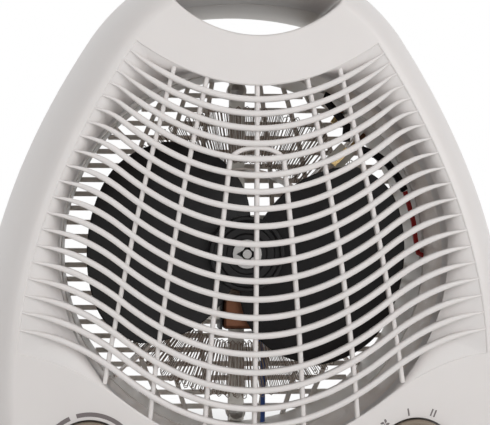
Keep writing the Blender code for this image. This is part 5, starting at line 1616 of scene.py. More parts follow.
@dataclass
class FrontHousing:
    """The front half with its grille, dial seats and lamp hole."""

    opening: FingerOpening = field(default_factory=FingerOpening)
    grille: Grille = field(default_factory=Grille)
    seat_radius: float = 17.3 * MM
    lens_radius: float = 4.3 * MM
    bush: float = 4.9 * MM
    post_front: float = -44 * MM  # front end of the posts behind the grille

    def make(self) -> None:
        """Build and dress the front."""
        shell = FRONT_SHELL
        obj = shell.make()
        boolean(obj, "DIFFERENCE", forge("grille_opening", shell.flare(
            self.grille.outline(), self.grille.rim, BODY.lip - 3 * MM)))
        boolean(obj, "UNION", forge("bowl", self.grille.add_bowl),
                shell.trimmed("tunnel", lambda bm: add_prism(
                    bm, self.opening.outline(BODY.wall), -FAR, shell.parting)),
                shell.trimmed("inside", self._add_inside))
        boolean(obj, "DIFFERENCE",
                forge("hole", shell.flare(self.opening.outline(), BODY.hole_rim, FAR)),
                forge("seats", self._add_seats), forge("bores", self._add_bores))
        polish(obj)
        show(obj, HOUSING, Finish.SHELL, "front_shell")
        for piece in (self.grille.bars(), self.grille.ribs()):
            show(piece, HOUSING, Finish.SHELL)

    def _add_inside(self, bm: BMesh) -> None:
        """Screw posts and the cups behind the dials.

        Args:
            bm: The mesh to fill.
        """
        for x, z in POSTS:
            start = -FAR if z < BODY.duct_z else self.post_front
            add_rod(bm, (x, start, z), (x, FRONT_SHELL.parting, z), BODY.post, BORE_SIDES)
        for side in (-1, 1):
            x = side * BODY.dial_x
            add_rod(bm, (x, -FAR, BODY.dial_z), (x, BODY.seat + BODY.wall, BODY.dial_z),
                    self.seat_radius + BODY.wall, DUCT_SIDES // 2)

    def _add_seats(self, bm: BMesh) -> None:
        """Recesses of the dials and the lamp's hole.

        Args:
            bm: The mesh to fill.
        """
        for side in (-1, 1):
            x = side * BODY.dial_x
            add_rod(bm, (x, -FAR, BODY.dial_z), (x, BODY.seat, BODY.dial_z), self.seat_radius,
                    HUB_SIDES)
        out = Vector((0, -cos(BODY.lens_tilt), -sin(BODY.lens_tilt)))
        place = Vector((0, BODY.face_y(0, BODY.lens_z), BODY.lens_z))
        add_rod(bm, place + out * BODY.wall, place - out * 2 * BODY.wall, self.lens_radius)

    def _add_bores(self, bm: BMesh) -> None:
        """Holes for the dials' bushes and the feet's stems.

        Args:
            bm: The mesh to fill.
        """
        for side in (-1, 1):
            x = side * BODY.dial_x
            add_rod(bm, (x, BODY.seat - BODY.wall, BODY.dial_z),
                    (x, BODY.seat + 2 * BODY.wall, BODY.dial_z), self.bush)
            x, y = side * FEET_X, FEET_Y[0]
            add_rod(bm, (x, y, 0), (x, y, BODY.base_z + 2 * BODY.wall), BODY.stem, BORE_SIDES)


@dataclass
class RearHousing:
    """The rear half with its round grille, screw wells and gland hole."""

    opening: FingerOpening = field(default_factory=FingerOpening)
    collar: float = 84 * MM
    recess: float = 4 * MM
    bar_pitch: float = 6.7 * MM
    bar_height: float = 2.4 * MM
    bar_depth: float = 2.6 * MM
    bar_round: float = 0.7 * MM
    spine: float = 6.6 * MM
    rib_width: float = 2.2 * MM
    rib_depth: float = 2.4 * MM
    rib_round: float = 0.6 * MM
    rib_x: Point = (18 * MM, 36 * MM, 54 * MM)
    pinch: float = 0.62  # x of a rib's ends, as a share of its middle's
    counts: tuple[int, ...] = (5, 33, 9)  # points of a bar, a rib and the spine
    boss_reach: float = 75.5 * MM
    boss_radius: float = 4.5 * MM
    boss_length: float = 7.8 * MM
    gland_radius: float = 5.3 * MM
    well: float = 3.6 * MM
    shank: float = 1.9 * MM
    screw_seat: float = 10 * MM
    bite: float = 1 * MM  # how far bars and ribs reach into the duct's wall
    air_gap: float = 0.6 * MM
    air_rim: float = 2 * MM
    rib_step: float = 1.8 * MM  # how far the ribs stand before the bars
    notch: tuple[Flat, Flat] = ((62, -1), (11.3 * MM, 3.5 * MM))  # degrees; depth, half width

    def make(self) -> None:
        """Build and dress the rear."""
        shell = REAR_SHELL
        obj = shell.make()

        def collar(bm: BMesh) -> None:
            """Wall of the duct."""
            add_lathe(bm, [(self.collar, shell.parting), (self.collar, FAR), (BODY.duct, FAR),
                           (BODY.duct, shell.parting)], (0, BODY.duct_z), DUCT_SIDES)

        def posts(bm: BMesh) -> None:
            """Screw posts."""
            for x, z in POSTS:
                add_rod(bm, (x, shell.parting, z), (x, FAR, z), BODY.post)
        boolean(obj, "UNION", shell.trimmed("tunnel", lambda bm: add_prism(
            bm, self.opening.outline(BODY.wall), shell.parting, FAR)),
            shell.trimmed("posts", posts), shell.trimmed("collar", collar))
        boolean(obj, "DIFFERENCE",
                forge("hole", shell.flare(self.opening.outline(), BODY.hole_rim, -FAR)),
                forge("air_hole", self._add_air_hole), forge("holes", self._add_holes),
                forge("shanks", self._add_shanks), forge("notches", self._add_notches))
        polish(obj)
        show(obj, HOUSING, Finish.REAR_SHELL, "rear_shell")
        for piece in (self._bars(), self._ribs()):
            show(piece, HOUSING, Finish.REAR_SHELL)
        bosses = forge("strap_bosses", self._add_bosses)
        polish(round_edges(bosses, 0.4 * MM))
        show(bosses, HOUSING, Finish.REAR_SHELL)

    def _add_air_hole(self, bm: BMesh) -> None:
        """The round air inlet, with a rounded rim.

        Args:
            bm: The mesh to fill.
        """
        radius, back, rim = BODY.duct + self.air_gap, BODY.back, self.air_rim
        arc = [(radius + rim * (1 - sin(a)), back - rim * (1 - cos(a)))
               for a in np.linspace(0, pi / 2, 7)]
        start = back - self.recess - self.bar_depth
        profile = [(0, start), (radius, start), *arc[::-1], (radius + rim, FAR), (0, FAR)]
        add_lathe(bm, profile, (0, BODY.duct_z), DUCT_SIDES)

    def _add_holes(self, bm: BMesh) -> None:
        """Wells of the screw heads, and the gland's hole.

        Args:
            bm: The mesh to fill.
        """
        for x, z in POSTS:
            add_rod(bm, (x, self.screw_seat, z), (x, FAR, z), self.well, WELL_SIDES)
        x, z = BODY.gland
        add_rod(bm, (x, 0, z), (x, FAR, z), self.gland_radius, WELL_SIDES)

    def _add_shanks(self, bm: BMesh) -> None:
        """Holes of the screws' shanks and the feet's stems.

        Args:
            bm: The mesh to fill.
        """
        for x, z in POSTS:
            add_rod(bm, (x, -FAR, z), (x, self.screw_seat + self.air_rim, z), self.shank,
                    SHANK_SIDES)
        for side in (-1, 1):
            x, y = side * FEET_X, FEET_Y[1]
            add_rod(bm, (x, y, 0), (x, y, BODY.base_z + 2 * BODY.wall), BODY.stem, BORE_SIDES)

    def _add_notches(self, bm: BMesh) -> None:
        """Notches in the duct's wall where the leads pass.

        Args:
            bm: The mesh to fill.
        """
        places, (deep, half) = self.notch
        for degrees in places:
            turn = (Matrix.Translation((0, 0, BODY.duct_z))
                    @ Matrix.Rotation(-radians(degrees), 4, "Y"))
            before = set(bm.verts)
            add_box(bm, (BODY.duct - BODY.wall, 0, -half), (self.collar + BODY.wall, deep, half))
            bmesh.ops.transform(bm, matrix=turn, verts=[v for v in bm.verts if v not in before])

    def _line(self, points: Iterable[Flat], y: float) -> list[Point]:
        """Points round the duct's axis at a depth."""
        return [(x, y, BODY.duct_z + z) for x, z in points]

    def _bars(self) -> Object:
        """The level bars of the rear grille.

        Returns:
            The bars.
        """
        paths = Paths()
        reach = BODY.duct + self.bite
        rows = int((BODY.duct - self.bar_height) / self.bar_pitch)
        y = BODY.back - self.recess - self.bar_depth / 2
        for row in range(-rows, rows + 1):
            z = row * self.bar_pitch
            half = sqrt(reach ** 2 - (abs(z) + self.bar_height / 2) ** 2)
            places = np.linspace(-half, half, self.counts[0])
            paths.add(self._line(((x, z) for x in places), y))
        return BAR_TREE.run(paths.mesh("rear_bars"), Finish.REAR_SHELL, Width=self.bar_height,
                            Depth=self.bar_depth, Rounding=self.bar_round)

    def _ribs(self) -> Object:
        """The upright ribs in front of the bars, with the wide one in the middle.

        Returns:
            The ribs.
        """
        paths = Paths()
        reach = BODY.duct + self.bite
        y = BODY.back - self.recess - self.bar_depth - self.rib_step + self.rib_depth / 2
        for middle in self.rib_x:
            top = sqrt(reach ** 2 - (middle * self.pinch) ** 2)
            for side in (-1, 1):
                paths.add(self._line(((side * middle * (1 - (1 - self.pinch) * t * t), t * top)
                                      for t in np.linspace(-1, 1, self.counts[1])), y))
        ribs = BAR_TREE.run(paths.mesh("rear_ribs"), Finish.REAR_SHELL, Width=self.rib_width,
                            Depth=self.rib_depth, Rounding=self.rib_round)
        spine = Paths()
        spine.add(self._line(((0, z) for z in np.linspace(-reach, reach, self.counts[2])), y))
        middle = BAR_TREE.run(spine.mesh("spine"), Finish.REAR_SHELL, Width=self.spine,
                              Depth=self.rib_depth, Rounding=self.bar_round)
        return join("rear_ribs", ribs, middle)

    def _add_bosses(self, bm: BMesh) -> None:
        """The two bosses that carry the motor's strap.

        Args:
            bm: The mesh to fill.
        """
        y = BODY.back - self.recess - self.bar_depth
        for side in (-1, 1):
            z = BODY.duct_z + side * self.boss_reach
            add_rod(bm, (0, y - self.boss_length, z), (0, y + self.air_gap, z), self.boss_radius,
                    WELL_SIDES)


def join(name: str, *objects: Object) -> Object:
    """Put several objects' meshes in the first, which keeps its finish.

    Args:
        name: The result's name.
        objects: The objects, of which the first is kept.

    Returns:
        The first object.
    """
    first = objects[0]
    bm = bmesh.new()
    for obj in objects:
        bm.from_mesh(obj.data)
    bm.to_mesh(first.data)
    bm.free()
    first.name = name
    for obj in objects[1:]:
        bpy.data.objects.remove(obj, do_unlink=True)
    return first


# Inside the duct

@dataclass
class Fan:
    """Two wide swept blades on a dished hub."""

    radius: float = 69.5 * MM
    hub: float = 16.5 * MM
    boss: float = 6.3 * MM
    wall: float = 2 * MM
    front: float = -13 * MM
    length: float = 14 * MM
    dish: float = 3 * MM
    bore: float = 2.3 * MM
    root_sweep: float = 11 * MM
    rim_sweep: float = 17 * MM
    thickness: float = 1.6 * MM
    camber: float = 3 * MM
    corner: float = 9 * MM
    square: int = 8  # the larger, the tighter the tips' corners
    lead: float = radians(82)
    lead_sweep: Flat = (0.62, 0.0085)
    trail: float = radians(246)
    trail_sweep: Flat = (0.42, 0.0042)
    columns: int = 48
    rows: int = 24
    root: float = 1.2 * MM  # how far the blades start inside the hub
    edge: float = 0.55 * MM
    soft: float = 0.7 * MM  # rounding of the hub
    step: tuple[Flat, ...] = ((8.6, 0), (9, -0.6), (12, -0.6), (12.4, 0))  # radius, y; in mm

    def make(self) -> None:
        """Build and dress the fan."""
        obj = forge("fan_rotor", self._add_hub)
        for side in (0, 1):
            blade = forge("blade", lambda bm, turn=side: self._add_blade(bm, turn))
            sheet = blade.modifiers.new("sheet", "SOLIDIFY")
            sheet.thickness, sheet.offset = self.thickness, 0
            settle(blade)
            round_edges(blade, self.edge, 60)
            boolean(obj, "UNION", blade)
        polish(obj, 40)
        show(obj, FAN, Finish.BLACK, "fan_impeller")

    def _add_hub(self, bm: BMesh) -> None:
        """The hub with its dished face and two fine steps.

        Args:
            bm: The mesh to fill.
        """
        y, back, inner = self.front, self.front + self.length, self.hub - self.wall
        floor = y + self.dish
        profile = [(self.bore, y + self.dish / 2), (self.boss, y + self.dish / 2),
                   (self.boss, floor), *((r * MM, floor + rise * MM) for r, rise in self.step),
                   (inner, floor), (inner, y), (self.hub, y), (self.hub, back), (inner, back),
                   (inner, floor + self.wall),
                   (self.boss, floor + self.wall), (self.boss, back), (self.bore, back)]
        add_lathe(bm, rounded(profile, self.soft), (0, BODY.duct_z), HUB_SIDES)

    def _blade_point(self, share: float, radius: float) -> Point:
        """A point on the middle of a blade, from its leading edge (0) to its trailing edge.

        Args:
            share: The place between the edges.
            radius: The radius.

        Returns:
            The point.
        """
        out = (radius - self.hub) / MM
        early, late = (sum(rate * out ** power for power, rate in enumerate(sweep, 1))
                       for sweep in (self.lead_sweep, self.trail_sweep))
        lead, trail = self.lead + radians(early), self.trail - radians(late)
        angle = lead + (trail - lead) * share
        spread = (radius - self.hub) / (self.radius - self.hub)
        grown = min(1.0, 2 * max(0.0, spread))
        axial = self.root_sweep + (self.rim_sweep - self.root_sweep) * grown
        y = (self.front + self.length / 2 + axial * (0.5 - share)
             - self.camber * spread * 4 * share * (1 - share))
        return radius * cos(angle), y, radius * sin(angle)

    def _add_blade(self, bm: BMesh, turn: int) -> None:
        """The middle surface of one blade.

        Args:
            bm: The mesh to fill.
            turn: Which of the two it is.
        """
        sign = -1 if turn else 1
        grid = []
        for j in range(self.rows + 1):
            row = []
            for i in range(self.columns + 1):
                share = i / self.columns
                rim = self.radius - self.corner * abs(2 * share - 1) ** self.square
                root = self.hub - self.root
                x, y, z = self._blade_point(share, root + (rim - root) * j / self.rows)
                row.append(bm.verts.new((sign * x, y, BODY.duct_z + sign * z)))
            grid.append(row)
        for lower, upper in zip(grid, grid[1:]):
            for i in range(self.columns):
                bm.faces.new((lower[i], lower[i + 1], upper[i + 1], upper[i]))


@dataclass
class HeatingRing:
    """Wire in hairpins round the motor, its two ends and the mica sleeve before it."""

    inner: float = 41 * MM
    tail: float = 71 * MM
    wire: float = 0.27 * MM
    ends: tuple[Flat, Flat] = ((55.2, 12 * MM), (42.95, 33.5 * MM))  # degrees and y
    start: float = radians(57)
    crease: float = 0.08 * MM
    liner: Flat = (80.85 * MM, 81.45 * MM)
    liner_y: Flat = (-36.6 * MM, 3.6 * MM)

    def make(self) -> None:
        """Build and dress the ring and the sleeve."""
        ring = HAIRPIN_TREE.run(link("heating_ring", bpy.data.meshes.new("heating_ring")),
                                Finish.HEATING, Start=self.start)
        ends = forge("ring_ends", self._add_ends)
        ends.data.shade_smooth()
        show(join("heating_ring", ring, ends), HOUSING, Finish.HEATING, "heating_wire")
        sleeve = forge("mica_sleeve", self._add_sleeve)
        show(polish(sleeve, 50), HOUSING, Finish.MICA, "mica_liner")

    def _at(self, degrees: float, radius: float, y: float) -> Point:
        """A point round the duct's axis."""
        angle = radians(degrees)
        return radius * cos(angle), y, BODY.duct_z + radius * sin(angle)

    def _add_ends(self, bm: BMesh) -> None:
        """The wire's two straight ends, out to their crimps.

        Args:
            bm: The mesh to fill.
        """
        for degrees, y in self.ends:
            add_rod(bm, self._at(degrees, self.tail, y), self._at(degrees, self.inner, y),
                    self.wire * 1.2, WIRE_SIDES)

    def _add_sleeve(self, bm: BMesh) -> None:
        """A rolled mica sheet with soft creases along its length.

        Args:
            bm: The mesh to fill.
        """
        inner, outer = self.liner
        low, high = self.liner_y
        depths = np.linspace(low, high, 19)
        profile = [(inner, y) for y in depths] + [(outer, y) for y in depths[::-1]]

        def crease(angle: float, y: float) -> float:
            """How far the sheet bulges.

            Args:
                angle: The angle round the duct.
                y: The depth.

            Returns:
                The change of the radius.
            """
            return self.crease * (sin(23 * angle + 90 * y) * sin(7 * angle + 1)
                                  + 0.6 * sin(41 * angle - 160 * y)
                                  + 0.4 * sin(300 * y))
        add_lathe(bm, profile, (0, BODY.duct_z), 2 * DUCT_SIDES, crease)


# Outside: dials, lamp, screws, feet and gland

class Mark(Enum):
    """Signs round the right dial."""

    OFF = "off"
    FAN = "fan"
    ONE = "one"
    TWO = "two"


@dataclass
class Dials:
    """Both knobs, and the generic marks printed round them."""

    radius: float = 16.5 * MM
    depth: float = 8 * MM
    height: float = 13 * MM
    wall: float = 2 * MM
    grip: float = 8 * MM
    run: float = 0.5 * MM
    edge: float = 0.55 * MM
    sides: int = 120
    stem: float = 3.4 * MM
    rim: Flat = (3.4 * MM, 4.2 * MM)  # the raised rim, from its top to the dish
    dish: float = 0.5 * MM
    grip_end: float = 2.2 * MM  # from the grip's round end to the knob's edge
    layers: tuple[float, ...] = (0.0, 0.5, 0.8, 0.93, 0.985, 1.0)  # heights of the grip's rings
    drawn_in: Flat = (0.14, 0.04)  # how much narrower and shorter the grip is on top
    crown: float = 0.8  # where its top starts to round off
    crowned: Flat = (0.20, 0.06)  # how much narrower and shorter that makes it
    sunk: float = 0.8 * MM  # how far the grip starts inside the knob
    arc_steps: int = 12
    grip_tip: tuple[Flat, ...] = ((1, 0.7), (0.55, 0.12))  # width and distance, in half widths
    point: float = 0.6 * MM
    soft: float = 1.3 * MM
    ink: float = 0.05 * MM
    sign: Flat = (1.55 * MM, 0.32 * MM)  # half height of a sign, and half its stroke
    pair: float = 0.75 * MM  # from the middle of II to each stroke
    oval: Point = (0.75, 0.95, 0.5 * MM)  # width and height of O in half heights, and its stroke
    vanes: int = 4
    vane: Point = (1.9 * MM, 0.46, 0.5)  # reach, spread and lean of the fan sign's vanes
    ring: Flat = (18.6 * MM, 20.4 * MM)
    gap: Flat = (-24.5, -16.0)
    places: dict[Mark, Flat] = field(default_factory=lambda: {
        Mark.OFF: (20.0 * MM, -74.0), Mark.FAN: (20.0 * MM, -42.0),
        Mark.ONE: (19.9 * MM, -10.4), Mark.TWO: (20.3 * MM, 20.1)})

    def make(self) -> None:
        """Build and dress knobs and marks."""
        for side, body, word in ((-1, LEFT_DIAL, "thermostat"), (1, RIGHT_DIAL, "selector")):
            x = side * BODY.dial_x
            knob = forge(f"{word}_dial_knob", lambda bm: self._add_knob(bm, x))
            boolean(knob, "UNION", forge("grip", lambda bm: self._add_grip(bm, x)))
            round_edges(knob, self.edge, 42)
            polish(knob, 40)
            show(knob, body, Finish.KNOB, f"{word}_knob")
        show(forge("thermostat_scale", self._add_scale), HOUSING, Finish.PRINT)
        show(forge("selector_marks", self._add_marks), HOUSING, Finish.PRINT)

    def _add_knob(self, bm: BMesh, x: float) -> None:
        """A dished disc with a raised rim, hollow behind.

        Args:
            bm: The mesh to fill.
            x: The dial's place.
        """
        y = BODY.seat - self.run
        front, inner, stem = y - self.depth, self.radius - self.wall, self.stem
        profile = rounded([(self.radius - self.rim[0], front), (self.radius, front),
                           (self.radius, y), (inner, y), (inner, front + self.wall),
                           (2 * stem, front + self.wall), (2 * stem, y - self.depth / 3),
                           (stem, y - self.depth / 3), (stem, front + self.wall / 2)], self.soft)
        floor = front + self.dish
        profile = [(0, floor), (self.radius - self.rim[1], floor), *profile,
                   (0, front + self.wall / 2)]
        add_lathe(bm, profile, (x, BODY.dial_z), self.sides)

    def _add_grip(self, bm: BMesh, x: float) -> None:
        """The bar that the fingers turn, pointed at one end.

        Args:
            bm: The mesh to fill.
            x: The dial's place.
        """
        base = BODY.seat - self.run - self.depth
        long, half = self.radius - self.grip_end, self.grip / 2
        outline: list[Flat] = []
        for i in range(self.arc_steps + 1):
            turn = pi + pi * i / self.arc_steps
            outline.append((half * cos(turn), -long + half + half * sin(turn)))
        tip = [(half * wide, long - half * back) for wide, back in self.grip_tip]
        outline += tip + [(0, long + self.point)] + [(-px, pz) for px, pz in reversed(tip)]
        rings = []
        for share in self.layers:
            y = base + self.sunk - (self.height - self.depth + self.sunk) * share
            last = (max(0.0, share - self.crown) / (1 - self.crown)) ** 2
            squeeze, reach = (1 - even * share - crown * last
                              for even, crown in zip(self.drawn_in, self.crowned))
            rings.append([(x + px * squeeze, y, BODY.dial_z + pz * reach) for px, pz in outline])
        add_loft(bm, rings)

    def _add_patch(self, bm: BMesh, sides: Sequence[tuple[Flat, Flat]],
                   closed: bool = False) -> None:
        """A thin strip on the face between pairs of (x, z) points.

        Args:
            bm: The mesh to fill.
            sides: The pairs.
            closed: Join the last pair to the first.
        """
        rings = []
        for a, b in sides:
            corners = []
            for lift in (-self.ink, self.ink):
                pair = (a, b) if lift < 0 else (b, a)
                corners += [(px, BODY.face_y(px, pz) + lift, pz) for px, pz in pair]
            rings.append(corners)
        add_loft(bm, rings, closed)

    def _polar(self, x: float, radius: float, degrees: float) -> Flat:
        """A point round a dial, from the top to the right."""
        turn = radians(degrees)
        return x + radius * sin(turn), BODY.dial_z + radius * cos(turn)

    def _add_scale(self, bm: BMesh) -> None:
        """Ring round the left dial, open at the tick.

        Args:
            bm: The mesh to fill.
        """
        x = -BODY.dial_x
        stops = np.linspace(self.gap[1], self.gap[0] + 360, 131)
        self._add_patch(bm, [(self._polar(x, self.ring[0], a), self._polar(x, self.ring[1], a))
                             for a in stops])

    def _add_marks(self, bm: BMesh) -> None:
        """O, fan, I and II round the right dial."""
        for mark, (radius, degrees) in self.places.items():
            self._add_mark(bm, mark, radius, degrees)

    def _add_mark(self, bm: BMesh, mark: Mark, radius: float, degrees: float) -> None:
        """One sign, upright to the dial's middle.

        Args:
            bm: The mesh to fill.
            mark: The sign.
            radius: The radius.
            degrees: Its angle round the dial.
        """
        turn = radians(degrees)
        middle = self._polar(BODY.dial_x, radius, degrees)

        def at(u: float, v: float) -> Flat:
            """A point of the sign, in its own axes."""
            return (middle[0] + u * cos(turn) + v * sin(turn),
                    middle[1] - u * sin(turn) + v * cos(turn))
        half, stroke = self.sign
        if mark in (Mark.ONE, Mark.TWO):
            for shift in ((0.0,) if mark is Mark.ONE else (-self.pair, self.pair)):
                self._add_patch(bm, [(at(shift - stroke, v), at(shift + stroke, v))
                                     for v in (-half, 0, half)])
        elif mark is Mark.OFF:
            wide, high, line = self.oval
            self._add_patch(bm, [
                tuple(at((half * wide + out) * cos(a), (half * high + out) * sin(a))
                      for out in (0, line))
                for a in np.linspace(0, tau, 33)[:-1]], closed=True)
        else:
            length, width, lean = self.vane
            for blade in range(self.vanes):
                start = radians(360 / self.vanes * blade + 20)
                sides = []
                for t in np.linspace(0.06, 1, 9):
                    reach, spread = length * t, width * sin(pi * min(t, 0.93)) + 0.05
                    sides.append(tuple(at(reach * cos(a), reach * sin(a)) for a in (
                        start + lean * t - spread, start + lean * t + spread)))
                self._add_patch(bm, sides)


@dataclass
class SmallParts:
    """Screws, feet, the indicator's lens and the gland."""

    screw: float = 3.2 * MM
    screw_y: float = 10.3 * MM
    shank: float = 1.6 * MM
    thread: Flat = (0.28 * MM, 0.8 * MM)  # depth and pitch
    foot: tuple[Flat, ...] = (  # radius and height, in mm
        (0, 0.5), (2.4, 0.5), (2.7, 0), (3.7, 0), (4, 0.5), (5, 0.5), (5.3, 0), (6.4, 0),
        (7, 0.6), (7, 2.7), (2.8, 2.7), (2.8, 5.7), (3.8, 5.7), (2.4, 7.4), (1.2, 8.3), (0, 8.3))
    lens: float = 4 * MM
    dome: float = 0.85 * MM
    ridge: float = 0.05 * MM  # height of the lens's fine steps
    catch: Flat = (1 * MM, -2.7 * MM)  # thickness, and place behind the face
    gland: Flat = (5 * MM, 3.7 * MM)  # radii of its nose and its bore
    flange: Flat = (2.5 * MM, 2 * MM)  # width and thickness
    tail: Flat = (1.1 * MM, 10 * MM)  # wall and length

    def make(self) -> None:
        """Build and dress the small parts."""
        self._repeat("shell_screws", [(x, self.screw_y, z) for x, z in POSTS], self._screw(),
                     Finish.BRIGHT, tau, [f"shell_screw_{i}" for i in range(1, 5)])
        self._repeat("feet", [(side * FEET_X, y, 0) for y in FEET_Y for side in (-1, 1)],
                     self._foot(), Finish.RUBBER, 0.0,
                     [f"foot_{row}_{hand}" for row in ("front", "rear")
                      for hand in ("left", "right")])
        lens = forge("lamp_cover", self._add_lens)
        show(polish(lens, 30), HOUSING, Finish.LENS, "indicator_lens")
        gland = forge("gland_bush", self._add_gland)
        show(polish(gland, 30), HOUSING, Finish.RUBBER, "cord_gland")

    def _repeat(self, name: str, places: Sequence[Point], shape: Object, finish: Finish,
                turn: float, nodes: Sequence[str]) -> None:
        """Put copies of a shape in their places.

        Args:
            name: The piece's name.
            places: Where the copies stand.
            shape: The shape, which is used up.
            finish: The finish.
            turn: Largest random turn, in radians.
            nodes: Frame nodes that the copies stand for.
        """
        mesh = bpy.data.meshes.new(name)
        mesh.from_pydata(places, [], [])
        piece = COPY_TREE.run(link(name, mesh), finish, shape, Turn=turn)
        show(piece, HOUSING, finish, *nodes)

    def _screw(self) -> Object:
        """A pan-head screw with a cross recess, its head to the rear.

        Returns:
            The shape.
        """
        r, (deep, pitch) = self.screw, self.thread
        thread = [(self.shank - (deep if i % 2 else 0), -pitch * i / 2) for i in range(2, 40)]
        profile = [(0, 2.2 * MM), (r * 0.55, 2.1 * MM), (r * 0.85, 1.6 * MM), (r, 0.8 * MM),
                   (r, 0), (self.shank, 0), *thread, (0.4 * MM, -17.6 * MM), (0, -17.8 * MM)]
        obj = forge("screw_shape", lambda bm: add_lathe(bm, profile, (0, 0), 28))

        def cross(bm: BMesh) -> None:
            """The recess.

            Args:
                bm: The mesh to fill.
            """
            arm, half = 1.65 * MM, 0.4 * MM
            corner = [(arm, -half), (arm, half), (half, half)]
            outline = [(x * c - z * s, x * s + z * c)
                       for c, s in ((1, 0), (0, 1), (-1, 0), (0, -1)) for x, z in corner]
            add_loft(bm, [[(x * k, y, z * k) for x, z in outline]
                          for y, k in ((0.7 * MM, 0.45), (2.6 * MM, 1.1))])
        boolean(obj, "DIFFERENCE", forge("cross", cross))
        return polish(obj, 30)

    def _foot(self) -> Object:
        """A push-in foot with two grip rings under it.

        Returns:
            The shape.
        """
        def fill(bm: BMesh) -> None:
            """The turned shape, stood up."""
            add_lathe(bm, [(r * MM, y * MM) for r, y in self.foot], (0, 0), WELL_SIDES)
            bmesh.ops.transform(bm, matrix=Matrix.Rotation(pi / 2, 4, "X"), verts=bm.verts)
        return polish(forge("foot_shape", fill), 30)

    def _add_lens(self, bm: BMesh) -> None:
        """A domed lens with concentric steps and a catch behind.

        Args:
            bm: The mesh to fill.
        """
        r, (skin, back) = self.lens, self.catch
        dome = [(0, self.dome)]
        for i in range(1, 9):
            share = i / 8
            dome.append((r * share, self.dome * (1 - share ** 2) + (self.ridge if i % 2 else 0)))
        profile = dome + [(r, back), (r + skin, back), (r + skin, back - skin),
                          (r - skin, back - skin), (r - skin, -skin), (0, -skin)]
        add_lathe(bm, profile, (0, 0), RING_SIDES)
        place = (Matrix.Translation((0, BODY.face_y(0, BODY.lens_z), BODY.lens_z))
                 @ Matrix.Rotation(pi + BODY.lens_tilt, 4, "X"))
        bmesh.ops.transform(bm, matrix=place, verts=bm.verts)

    def _add_gland(self, bm: BMesh) -> None:
        """The gland with a rounded mouth, a flange and a plain tapering sleeve.

        Args:
            bm: The mesh to fill.
        """
        (nose, bore), (wide, thick), (wall, length) = self.gland, self.flange, self.tail
        back, inside = BODY.back, BODY.back - BODY.wall - BODY.seam
        profile = rounded([(bore, back), (nose, back), (nose, inside), (nose + wide, inside),
                           (nose + wide, inside - thick), (bore + wall, inside - length),
                           (bore, inside - length)], 0.5 * MM)
        add_lathe(bm, profile, BODY.gland, RING_SIDES)


class Insides:
    """Frame nodes that stay as they are and only get their finish."""

    FINISHES = {finish.value.slot: finish for finish in Finish if finish is not Finish.REAR_SHELL}

    def make(self) -> None:
        """Dress every node by its slot in the record."""
        for part in frame["record"]["subparts"]:
            node = frame["nodes"][part["node"]]
            made = material(self.FINISHES[part["material_slot"]])
            for place in node.material_slots:
                place.material = made


# Studio

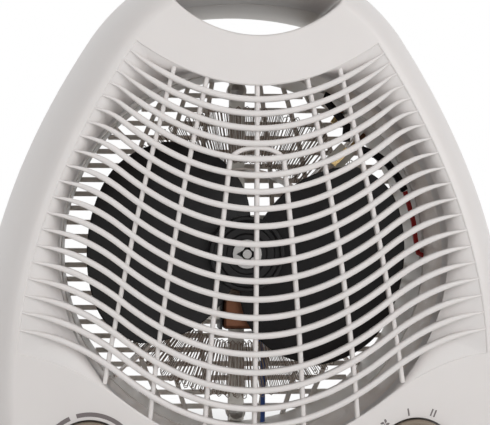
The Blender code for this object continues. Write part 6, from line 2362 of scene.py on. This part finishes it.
@dataclass
class Studio:
    """Camera, backdrop, floor and soft lights."""

    eye: Point = (-0.0614, -0.6978, 0.1383)
    yaw: float = radians(5.03)
    pitch: float = radians(-0.15)
    roll: float = radians(0.21)
    sensor: float = 36
    focal: float = 1584 * 36 / 490  # 1584 pixels, in a picture that is 490 wide
    ambient: float = 0.40  # strength of the world as a light; seen directly it is 1
    target: Point = (0, 0, 0.12)
    shadow: Flat = (0.18, 0.32)  # radius of the kept shadow, and its fading edge
    pale: Colour = (0.86, 0.86, 0.85)
    white: tuple[float, ...] = (1, 1, 1, 1)
    lamps: tuple[tuple[str, Point, float, float], ...] = (  # name, place, size, power
        ("key", (0.95, -0.95, 0.45), 0.8, 6.4), ("fill", (-0.95, -0.95, 0.35), 0.8, 3.6),
        ("top", (0.1, -0.05, 1.35), 0.9, 2.0), ("front", (0.22, -1.25, 0.22), 0.8, 1.6))

    def make(self) -> None:
        """Set up everything round the heater."""
        scene = bpy.context.scene
        scene.view_settings.view_transform = "Standard"
        camera = bpy.data.cameras.new("camera")
        camera.lens, camera.sensor_width = self.focal, self.sensor
        camera.sensor_fit = "HORIZONTAL"
        eye = bpy.data.objects.new("camera", camera)
        eye.matrix_world = self._view()
        scene.collection.objects.link(eye)
        scene.camera = eye
        self._world(scene)
        self._floor()
        for lamp in self.lamps:
            self._softbox(*lamp)

    def _view(self) -> Matrix:
        """The camera's place and direction.

        Returns:
            The matrix of the camera.
        """
        ahead = Vector((sin(self.yaw) * cos(self.pitch),
                        cos(self.yaw) * cos(self.pitch), -sin(self.pitch)))
        right = Vector((cos(self.yaw), -sin(self.yaw), 0))
        up = right.cross(ahead)
        across = cos(self.roll) * right + sin(self.roll) * up
        upward = -sin(self.roll) * right + cos(self.roll) * up
        turn = Matrix((across, upward, -ahead)).transposed()
        return Matrix.Translation(self.eye) @ turn.to_4x4()

    def _seen(self, graph: Graph) -> Term:
        """1 for rays from the camera, from a mirror or through glass.

        Args:
            graph: The tree to fill.

        Returns:
            The number.
        """
        path = graph.node("ShaderNodeLightPath")
        camera, mirror, glass = (path.out(f"Is {kind} Ray")
                                 for kind in ("Camera", "Glossy", "Transmission"))
        return (camera + mirror + glass).held()

    def _world(self, scene: bpy.types.Scene) -> None:
        """White to the camera, soft grey light to everything else.

        Args:
            scene: The scene.
        """
        world = bpy.data.worlds.new("studio")
        scene.world = world
        world.use_nodes = True
        graph = Graph(world.node_tree)
        strength = self.ambient + (1 - self.ambient) * self._seen(graph)
        light = graph.node("ShaderNodeBackground", None,
                           {"Color": self.white, "Strength": strength})
        graph.node("ShaderNodeOutputWorld", None, {"Surface": light})

    def _floor(self) -> None:
        """A pale floor that keeps the shadow near the heater and is white further out."""
        def fill(bm: BMesh) -> None:
            """A fine square."""
            bmesh.ops.create_grid(bm, x_segments=24, y_segments=24, size=2.0)
        floor = forge("floor", fill)
        made = bpy.data.materials.new("floor")
        made.use_nodes = True
        graph = Graph(made.node_tree)
        near = graph.node("ShaderNodeVectorMath", {"operation": "LENGTH"},
                          {0: graph.place()}).out("Value")
        white = ((near - self.shadow[0]) / self.shadow[1]).held() * self._seen(graph)
        pale = graph.node("ShaderNodeBsdfPrincipled", None, {
            "Base Color": (*self.pale, 1), "Roughness": 0.85,
            "Normal": graph.bump(graph.noise(1.5 * MM), 0.02 * MM)})
        bright = graph.node("ShaderNodeEmission", None, {"Color": self.white, "Strength": 1.0})
        mixed = graph.node("ShaderNodeMixShader", None, {0: white, 1: pale, 2: bright})
        graph.node("ShaderNodeOutputMaterial", None, {"Surface": mixed})
        floor.data.materials.append(made)

    def _softbox(self, name: str, place: Point, size: float, power: float) -> None:
        """A square lamp turned to the heater.

        Args:
            name: Its name.
            place: Its middle.
            size: Length of its side.
            power: Its power in watts.
        """
        lamp = bpy.data.lights.new(name, "AREA")
        lamp.shape, lamp.size, lamp.energy = "SQUARE", size, power
        obj = bpy.data.objects.new(name, lamp)
        turn = (Vector(self.target) - Vector(place)).to_track_quat("-Z", "Y")
        obj.matrix_world = Matrix.Translation(place) @ turn.to_matrix().to_4x4()
        bpy.context.scene.collection.objects.link(obj)


def main() -> None:
    """Build the heater, piece by piece, and the studio."""
    logging.basicConfig(level=logging.INFO, format="%(name)s: %(message)s")
    Studio().make()
    Insides().make()
    for part in (FrontHousing(), RearHousing(), Fan(), HeatingRing(), Dials(), SmallParts()):
        part.make()


if __name__ == "__main__":
    main()
